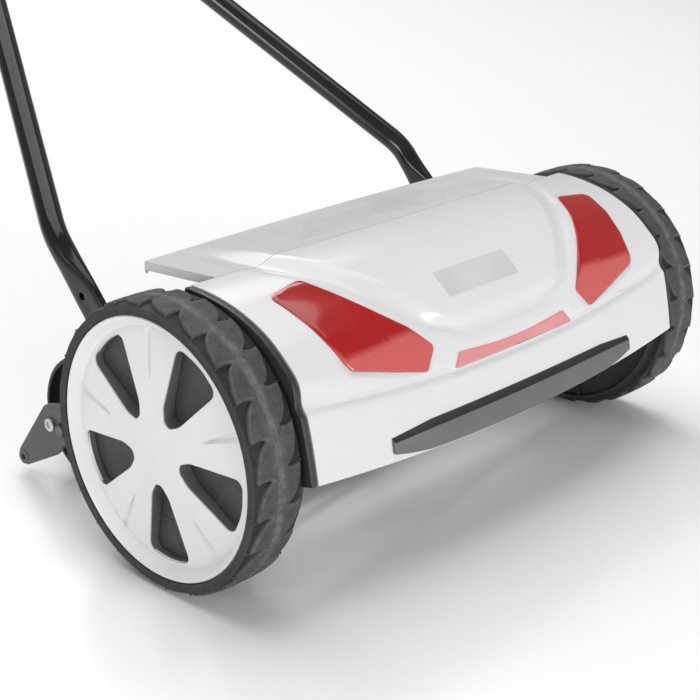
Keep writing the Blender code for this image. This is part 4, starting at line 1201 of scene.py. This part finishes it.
def wheel(label, side):
    tyre(label, side)
    wheel_cover(label, side)
    rim(label, side)
    ring_gear(label, side)
    bush = ((0.2392, 0.0092), (0.2392, 0.0111), (0.2396, 0.0115), (0.2580, 0.0115), (0.2580, 0.0092))
    made = turned(f"hub_bush_{label}_sleeve", bush, WHEEL, 64, side)
    wear(made, f"{label}_wheel", "bronze", f"hub_bush_{label}")


# ---- chassis ----


def joined(name, objects):
    """Separate closed bodies gathered in one object."""
    bm = bmesh.new()
    for obj in objects:
        bm.from_mesh(obj.data)
        bpy.data.objects.remove(obj, do_unlink=True)
    bmesh.ops.translate(bm, vec=(0, -AXLE.y, 0), verts=bm.verts)
    return new_object(name, bm)


def boss(name, centre, side, inner, outer, radius, bore):
    """A round boss with a rounded end, and a blind bore where the bore has a radius."""
    soft = min(0.0010, radius * 0.2)
    profile = [
        (outer, 0.0), (outer, radius), (inner + soft, radius),
        (inner + soft * 0.3, radius - soft * 0.3), (inner, radius - soft),
    ]
    if bore:
        profile += [(inner, bore), (inner + 0.008, bore), (inner + 0.008, 0.0)]
    else:
        profile.append((inner, 0.0))
    return turned(name, profile, centre, 64, side)


def side_plate(label, side):
    """A moulded end plate: rim, ribs and bosses on its inner face."""
    hooded = [hood_point(HOOD_HALF_WIDTH, t, -0.0007).yz for t in spread(0.0, 2.0, 120)]
    start = math.atan2(hooded[-1].y - AXLE.z, hooded[-1].x)
    end = math.atan2(hooded[0].y - AXLE.z, hooded[0].x) - (2 * math.pi if hooded[0].y > AXLE.z else 0)
    arc = [polar(WHEEL, SIDE_DISC_RADIUS, angle) for angle in spread(start, end, 120)]
    outline = [tuple(p) for p in hooded] + arc[1:-1]
    pieces = [plate(f"plate_{label}_disc", [outline], (0.2172, 0.2218), side, 0.0005, 2)]
    wall = (
        (0.2175, 0.1004), (0.2146, 0.1004), (0.2140, 0.0998), (0.2140, 0.0988), (0.2146, 0.0982),
        (0.2175, 0.0982),
    )
    pieces.append(turned(f"plate_{label}_wall", wall, WHEEL, 160, side))
    for key, place, inner, radius, bore in (
        ("reel", REEL, 0.1965, 0.0200, 0.0112), ("handle", HANDLE_PIVOT, 0.2078, 0.0110, 0.0),
        ("arm", ARM_PIVOT, 0.2153, 0.0090, 0.0), ("knife", KNIFE_BOLT, 0.2090, 0.0080, 0.0),
        ("rod", TIE_ROD, 0.2050, 0.0110, 0.0),
    ):
        pieces.append(boss(f"plate_{label}_{key}", place, side, inner, 0.2175, radius, bore))
    for k in range(6):
        angle = math.radians(15 + 60 * k)
        out = Vector((math.cos(angle), math.sin(angle)))
        across = Vector((-out.y, out.x)) * 0.0010
        rings = []
        for radius in spread(0.024, 0.0985, 12):
            p = Vector(WHEEL) + out * radius
            rings.append([
                (side * 0.2174, *(p - across)), (side * 0.2142, *(p - across * 0.8)),
                (side * 0.2142, *(p + across * 0.8)), (side * 0.2174, *(p + across)),
            ])
        pieces.append(loft(f"plate_{label}_rib_{k}", rings))
    made = joined(f"side_plate_{label}_moulding", pieces)
    wear(made, "chassis", "black_plastic", f"side_plate_{label}")


def screw(node, body, centre, side, head, end, shank, radius):
    """A screw: a rounded head from head[0] to head[1] with a round recess, and its shank."""
    out, under = head
    sign = 1 if under > out else -1
    soft = 0.0005 * sign
    recess, floor_at = radius * 0.45, out + 0.0011 * sign
    profile = [
        (floor_at, 0.0), (floor_at, recess * 0.92), (out, recess), (out, radius - 0.0010),
        (out + soft * 0.5, radius - 0.0004), (out + soft * 1.6, radius), (under - soft * 0.4, radius),
        (under, radius - 0.0002), (under, shank), (end - soft, shank), (end, shank * 0.8), (end, 0.0),
    ]
    wear(turned(node + "_fine", profile, centre, 48, side), body, "steel", node)


def hardware(label, side):
    """Screws, bearing, axle and ring of one side."""
    bearing = (
        (0.1982, 0.0053), (0.1980, 0.0056), (0.1980, 0.0070), (0.1985, 0.0073), (0.1985, 0.0090),
        (0.1980, 0.0093), (0.1980, 0.0108), (0.1983, 0.0110), (0.2124, 0.0110), (0.2126, 0.0108),
        (0.2126, 0.0053),
    )
    made = turned(f"bearing_{label}_race", bearing, REEL, 72, side)
    wear(made, "chassis", "steel", f"shaft_bearing_{label}")
    axle = (
        (0.2135, 0.0), (0.2135, 0.0134), (0.2141, 0.0140), (0.2166, 0.0140), (0.2166, 0.0090),
        (0.2585, 0.0090), (0.2585, 0.0078), (0.2600, 0.0078), (0.2600, 0.0090), (0.2612, 0.0090),
        (0.2620, 0.0080), (0.2620, 0.0),
    )
    made = turned(f"stub_axle_{label}_pin", axle, WHEEL, 72, side)
    wear(made, "chassis", "steel", f"stub_axle_{label}")
    ring = [circle(WHEEL, radius, 72) for radius in (0.0130, 0.0081)]
    made = plate(f"ring_{label}", ring, (0.25885, 0.25970), side, 0.0001, 1)
    wear(made, "chassis", "dark_steel", f"retaining_ring_{label}")
    for key, place, head, end, shank, radius in (
        ("knife_screw", KNIFE_BOLT, (0.2005, 0.2036), 0.2150, 0.0030, 0.0055),
        ("handle_bolt", HANDLE_PIVOT, (0.1945, 0.1986), 0.2150, 0.0040, 0.0075),
        ("arm_screw", ARM_PIVOT, (0.2060, 0.2096), 0.2204, 0.0040, 0.0065),
    ):
        screw(f"{key}_{label}", "chassis", place, side, head, end, shank, radius)


def rod_and_knife():
    """The tie rod, the bed knife and the carrier that holds it by an ear at each end."""
    wear(round_bar("tie_rod_bar", TIE_ROD, 0.2161, 0.0060), "chassis", "dark_steel", "tie_rod")
    section = (
        (0.0335, 0.0240), (0.0640, 0.0240), (0.0640, 0.0210), (0.0400, 0.0210), (0.0355, 0.0222),
        (0.0340, 0.0232),
    )
    rings = [[(x, y, z) for y, z in section] for x in spread(-0.1900, 0.1900, 61)]
    made = loft("bed_knife_blade", rings, sharp=12)
    add_bevel(made, 0.00025, 2, 30)
    wear(made, "chassis", "steel", "bed_knife", look="blade_steel")
    section = (
        (0.0380, 0.0140), (0.0395, 0.0125), (0.0565, 0.0125), (0.0580, 0.0140), (0.0580, 0.0192),
        (0.0565, 0.0207), (0.0395, 0.0207), (0.0380, 0.0192),
    )
    rings = [[(x, y, z) for y, z in section] for x in spread(-0.2085, 0.2085, 41)]
    pieces = [loft("carrier_bar", rings)]
    ear = rounded_outline([(0.0380, 0.0125), (0.0580, 0.0125), (0.0580, 0.0530), (0.0380, 0.0530)], 0.0060)
    for label, side in SIDES:
        hole = circle(KNIFE_BOLT, 0.0033, 32)
        pieces.append(plate(f"carrier_{label}", [ear, hole], (0.2040, 0.2085), side, 0.0005, 2))
    wear(joined("carrier", pieces), "chassis", "dark_steel", "bed_knife_carrier")


# ---- reel ----


def blade_angle(index, x):
    return 2 * math.pi * index / BLADES + BLADE_TWIST * x / (2 * BLADE_HALF_LENGTH)


def reel_blade(index):
    """A helical blade with a sharp outer corner."""
    rings = []
    for x in spread(-BLADE_HALF_LENGTH, BLADE_HALF_LENGTH, 121):
        angle = blade_angle(index, x)
        out = Vector((math.cos(angle), math.sin(angle)))
        across = Vector((-out.y, out.x))
        ring = []
        for radius, turn in (
            (0.0510, -0.00125), (0.0562, -0.00125), (0.0570, -0.0006), (0.0570, 0.00125), (0.0510, 0.00125),
        ):
            ring.append((x, *(Vector(REEL) + out * radius + across * turn)))
        rings.append(ring)
    made = loft(f"blade_{index + 1}", rings, sharp=20)
    add_bevel(made, 0.0002, 2, 40)
    wear(made, "reel", "steel", f"reel_blade_{index + 1}", look="blade_steel")


def spider(label, x):
    """A five-armed plate with a hub and arms that widen under the blades."""
    outline = []
    for i in range(BLADES):
        angle = blade_angle(i, x)
        for radius, turn, rounding in (
            (0.0150, -math.pi / 5, 0.006), (0.0190, -0.42, 0.004), (0.0440, -0.11, 0.020),
            (0.0505, -0.13, 0.0008), (0.0505, 0.13, 0.0008), (0.0440, 0.11, 0.020), (0.0190, 0.42, 0.004),
        ):
            outline.append((*polar(REEL, radius, angle + turn), rounding))
    outlines = [rounded_outline(outline, 0.002, 4), circle(REEL, 0.0056)]
    made = plate(f"spider_{label}", outlines, (x - 0.0015, x + 0.0015), 1, 0.0003, 2)
    wear(made, "reel", "dark_steel", f"reel_spider_{label}")


def pinion(label, side, body):
    """A small gear with three ratchet ramps in its bore."""
    teeth = gear_outline(REEL, PINION_TEETH, REEL_ANGLE, False)
    bore = []
    for i in range(48):
        ramp = (i % 16) / 15
        angle = 2 * math.pi * (i // 16) / 3 + ramp * (2 * math.pi / 3 - 0.08)
        bore.append(polar(REEL, 0.0068 + 0.0010 * ramp, angle))
    made = plate(f"pinion_{label}_gear", [teeth, bore], (0.2250, 0.2400), side, 0.0002, 1)
    wear(made, body, "dark_steel", f"pinion_{label}")


def reel():
    """The shaft with a slot and a pawl at each end, its spiders and blades, and both pinions."""
    made = round_bar("shaft_bar", REEL, 0.2405, 0.0050)
    for label, side in SIDES:
        cut(made, block("slot", (side * 0.2325, REEL[0], REEL[1] + 0.0040), (0.0100, 0.0040, 0.0060)))
        pawl = block(f"pawl_{label}", (side * 0.2325, REEL[0], REEL[1] + 0.0038), (0.0090, 0.0032, 0.0048))
        add_bevel(pawl, 0.0003, 2)
        wear(pawl, "reel", "steel", f"ratchet_pawl_{label}")
    wear(made, "reel", "steel", "reel_shaft")
    for label, x in (("left", -0.165), ("middle", 0.0), ("right", 0.165)):
        spider(label, x)
    for index in range(BLADES):
        reel_blade(index)
    pinion("left", -1, "reel")
    pinion("right", 1, "right_pinion")


def block(name, centre, size):
    bm = bmesh.new()
    bmesh.ops.create_cube(bm, size=1)
    for vert in bm.verts:
        vert.co = Vector(centre) + vert.co * Vector(size)
    return new_object(name, bm)


# ---- rear roller ----


def roller_bracket(label, side):
    """The arm with rounded rims, its recessed screw and the tab with a hole."""
    corners = (
        (0.0600, 0.0440, 0.0095), (0.1480, 0.0420, 0.030), (0.1755, 0.0440, 0.010), (0.1925, 0.0280, 0.010),
        (0.2350, 0.0055, 0.0060), (0.2460, 0.0150, 0.0060), (0.2025, 0.0710, 0.012), (0.1800, 0.0775, 0.012),
        (0.1480, 0.0760, 0.030), (0.0600, 0.0660, 0.0095),
    )
    outline = rounded_outline(corners, 0.006, 8)
    holes = [
        circle(centre, radius, 40)
        for centre, radius in (
            (ARM_PIVOT, 0.0044), (ROLLER, 0.0054), (BRACKET_SCREW, 0.0034), (BRACKET_TAB, 0.0026),
        )
    ]
    pieces = [plate(f"bracket_{label}_plate", [outline, *holes], (0.2100, 0.2150), side, 0.0007, 3)]
    pad = ((0.2140, 0.0026), (0.2156, 0.0026), (0.2156, 0.0060), (0.2153, 0.0064), (0.2140, 0.0064))
    pieces.append(turned(f"bracket_{label}_pad", pad, BRACKET_TAB, 48, side))
    made = joined(f"bracket_{label}_arm", pieces)
    wear(made, "roller_carriage", "grey_plastic", f"roller_bracket_{label}")
    head = (0.2183, 0.2153)
    screw(f"bracket_screw_{label}", "roller_carriage", BRACKET_SCREW, side, head, 0.2070, 0.0030, 0.0058)


def roller():
    """Both brackets, the axle and the grooved drum with its recessed ends."""
    for label, side in SIDES:
        roller_bracket(label, side)
    axle = mirrored(((0.2182, 0.0050), (0.2190, 0.0042), (0.2186, 0.0)))
    wear(turned("roller_axle_bar", axle, ROLLER, 48), "roller_carriage", "dark_steel", "roller_axle")
    end = [
        (0.1770, 0.0500), (0.1770, 0.0150), (0.1750, 0.0140), (0.1750, 0.0057), (0.1850, 0.0057),
        (0.1850, 0.0125), (0.1842, 0.0135), (0.1800, 0.0145), (0.1800, 0.0500), (0.1820, 0.0508),
        (0.1895, 0.0510), (0.1900, 0.0514), (0.1900, 0.0538), (0.1892, 0.0547), (0.1880, 0.0550),
    ]
    grooves = []
    for x in (0.1500, 0.0750, 0.0):
        for off, radius in ((0.0030, 0.0550), (0.0022, 0.0540), (-0.0022, 0.0540), (-0.0030, 0.0550)):
            if x or off > 0:
                grooves.append((x + off, radius))
    half = end + grooves
    profile = half + [(-x, radius) for x, radius in reversed(half)]
    made = turned("roller_drum", profile, ROLLER, 128)
    wear(made, "rear_roller", "black_plastic", "rear_roller")


# ---- handle ----


def slope_point(x, distance):
    """A point on the handle's upper slope, that far past the neck."""
    return Vector((x, *polar(NECK, distance, UPPER_SLOPE)))


def bent_path(corners, radius, pieces=14):
    """A path through straight runs, with each inner corner replaced by an arc."""
    path = [corners[0]]
    for before, corner, after in zip(corners, corners[1:], corners[2:]):
        into = (corner - before).normalized()
        out = (after - corner).normalized()
        turn = into.angle(out)
        start = corner - into * radius * math.tan(turn / 2)
        middle = corner + (out - into).normalized() * radius / math.cos(turn / 2)
        axis = into.cross(out).normalized()
        for i in range(pieces + 1):
            share = turn * i / pieces
            arm = start - middle
            path.append(middle + arm * math.cos(share) + axis.cross(arm) * math.sin(share))
    path.append(corners[-1])
    return path


def tangent(path, i):
    return (path[min(i + 1, len(path) - 1)] - path[max(i - 1, 0)]).normalized()


def flat_share(along):
    """How flat the handle tube is at a distance from its end: 1 where it is bolted on, 0 from the bend."""
    whole = (Vector(HANDLE_BEND) - Vector(HANDLE_END)).length
    return 1 - smooth((along / whole - 0.62) / 0.30)


def handle_tube(label, side):
    """The lower handle tube: pressed flat with a rounded end and a dimple, then round up to the neck."""
    corners = [
        Vector((side * HANDLE_X, *HANDLE_END)), Vector((side * HANDLE_X, *HANDLE_BEND)),
        Vector((side * NECK_X, *NECK)), slope_point(side * NECK_X, 0.335),
    ]
    path = bent_path(corners, BEND_RADIUS)
    first = path[0]
    straight = 90
    path[1:1] = [first.lerp(path[1], share) for share in spread(0.004, 0.996, straight)]
    rings = []
    count = 40
    for i, point in enumerate(path):
        travelled = (point - first).length if i <= straight + 1 else 1.0
        along = tangent(path, i)
        across = (Vector((1, 0, 0)) - along * along.x).normalized()
        upright = along.cross(across)
        flat = flat_share(travelled)
        half_x = TUBE_RADIUS + (FLAT_SIZE[0] - TUBE_RADIUS) * flat
        half_w = TUBE_RADIUS + (FLAT_SIZE[1] - TUBE_RADIUS) * flat
        if travelled < 0.0110:
            half_w *= math.sqrt(max(0.03, 1 - ((0.0110 - travelled) / 0.0110) ** 2 * 0.72))
        power = 1 - 0.55 * flat
        dimple = 0.0016 * bell(travelled, 0.098, 0.020)
        ring = []
        for k in range(count):
            angle = 2 * math.pi * (k + 0.5) / count
            c, s = math.cos(angle), math.sin(angle)
            a = math.copysign(abs(c) ** power, c) * half_x
            b = math.copysign(abs(s) ** power, s) * half_w
            a -= math.copysign(dimple, a) * bell(b, 0.0, 0.0045)
            ring.append(point + across * a + upright * b)
        rings.append(ring)
    made = loft(f"lower_tube_{label}", rings, sharp=40)
    add_bevel(made, 0.0006, 2, 60)
    for centre, radius, low, high in (
        (HANDLE_PIVOT, 0.0043, 0.190, 0.216), ((0.1520, 0.1745), 0.0032, 0.190, 0.216),
        (FOLD_CENTRE, FOLD_BORE, 0.080, 0.120),
    ):
        drill(made, centre, radius, low, high, side)
    wear(made, "lower_handle", "handle_tube", f"handle_tube_{label}")


def round_tube(name, path, radius):
    """A tube with rounded plugs in its ends."""
    count = 36
    rings = []
    up = tangent(path, 0).orthogonal()
    for i, point in enumerate(path):
        along = tangent(path, i)
        up = (up - along * up.dot(along)).normalized()
        side = along.cross(up)
        ring = []
        for k in range(count):
            angle = 2 * math.pi * k / count
            ring.append(point + (up * math.cos(angle) + side * math.sin(angle)) * radius)
        rings.append(ring)
    made = loft(name, rings)
    add_bevel(made, 0.0010, 3, 60)
    return made


def handle_loop():
    """The upper loop, bored for the fold bolts, and the foam grip on its bar."""
    right = [
        slope_point(0.1218, 0.265), slope_point(0.1218, 0.360),
        slope_point(0.2000, 0.520), slope_point(0.2000, 0.800),
    ]
    left = [Vector((-point.x, point.y, point.z)) for point in reversed(right)]
    made = round_tube("upper_loop", bent_path(right + left, 0.060, 18), TUBE_RADIUS)
    for label, side in SIDES:
        drill(made, FOLD_CENTRE, FOLD_BORE, 0.110, 0.134, side)
    wear(made, "upper_handle", "handle_tube", "handle_loop")
    bar = slope_point(0, 0.800)
    half = 0.1280
    profile = [(-half, 0.0106)]
    for x in spread(-half, half, 81):
        end = min(1.0, (half - abs(x)) / 0.0035)
        swell = 0.0003 * math.sin(x * 95) * math.sin(x * 41)
        profile.append((x, 0.0128 + (0.0021 + swell) * math.sqrt(max(0.0, 1 - (1 - end) ** 2))))
    profile.append((half, 0.0106))
    made = turned("foam_sleeve", profile, (bar.y, bar.z), 72)
    wear(made, "upper_handle", "foam", "foam_grip")


def knob(label, side):
    """A five-lobed hand knob with rounded edges, and its bolt."""
    outline = []
    for i in range(120):
        angle = 2 * math.pi * i / 120
        outline.append(polar(FOLD_CENTRE, 0.0155 + 0.0024 * math.cos(5 * angle), angle))
    hole = circle(FOLD_CENTRE, FOLD_BORE, 40)
    made = plate(f"knob_{label}", [outline, hole], (0.1325, 0.1475), side, 0.0024, 5)
    wear(made, f"{label}_knob", "black_plastic", f"fold_knob_{label}")
    head = (0.0870, 0.0908)
    screw(f"fold_bolt_{label}", "lower_handle", FOLD_CENTRE, side, head, 0.1462, 0.0030, 0.0060)


# ---- build ----


camera()
floor()
lighting()
hood()
for lens_name, lens_edge, lens_slot in LENSES:
    lens(lens_name, lens_edge, lens_slot)
badge()
bumper()
deflector()
rod_and_knife()
reel()
roller()
handle_loop()
for part_label, part_side in SIDES:
    wheel(part_label, part_side)
    side_plate(part_label, part_side)
    hardware(part_label, part_side)
    handle_tube(part_label, part_side)
    knob(part_label, part_side)
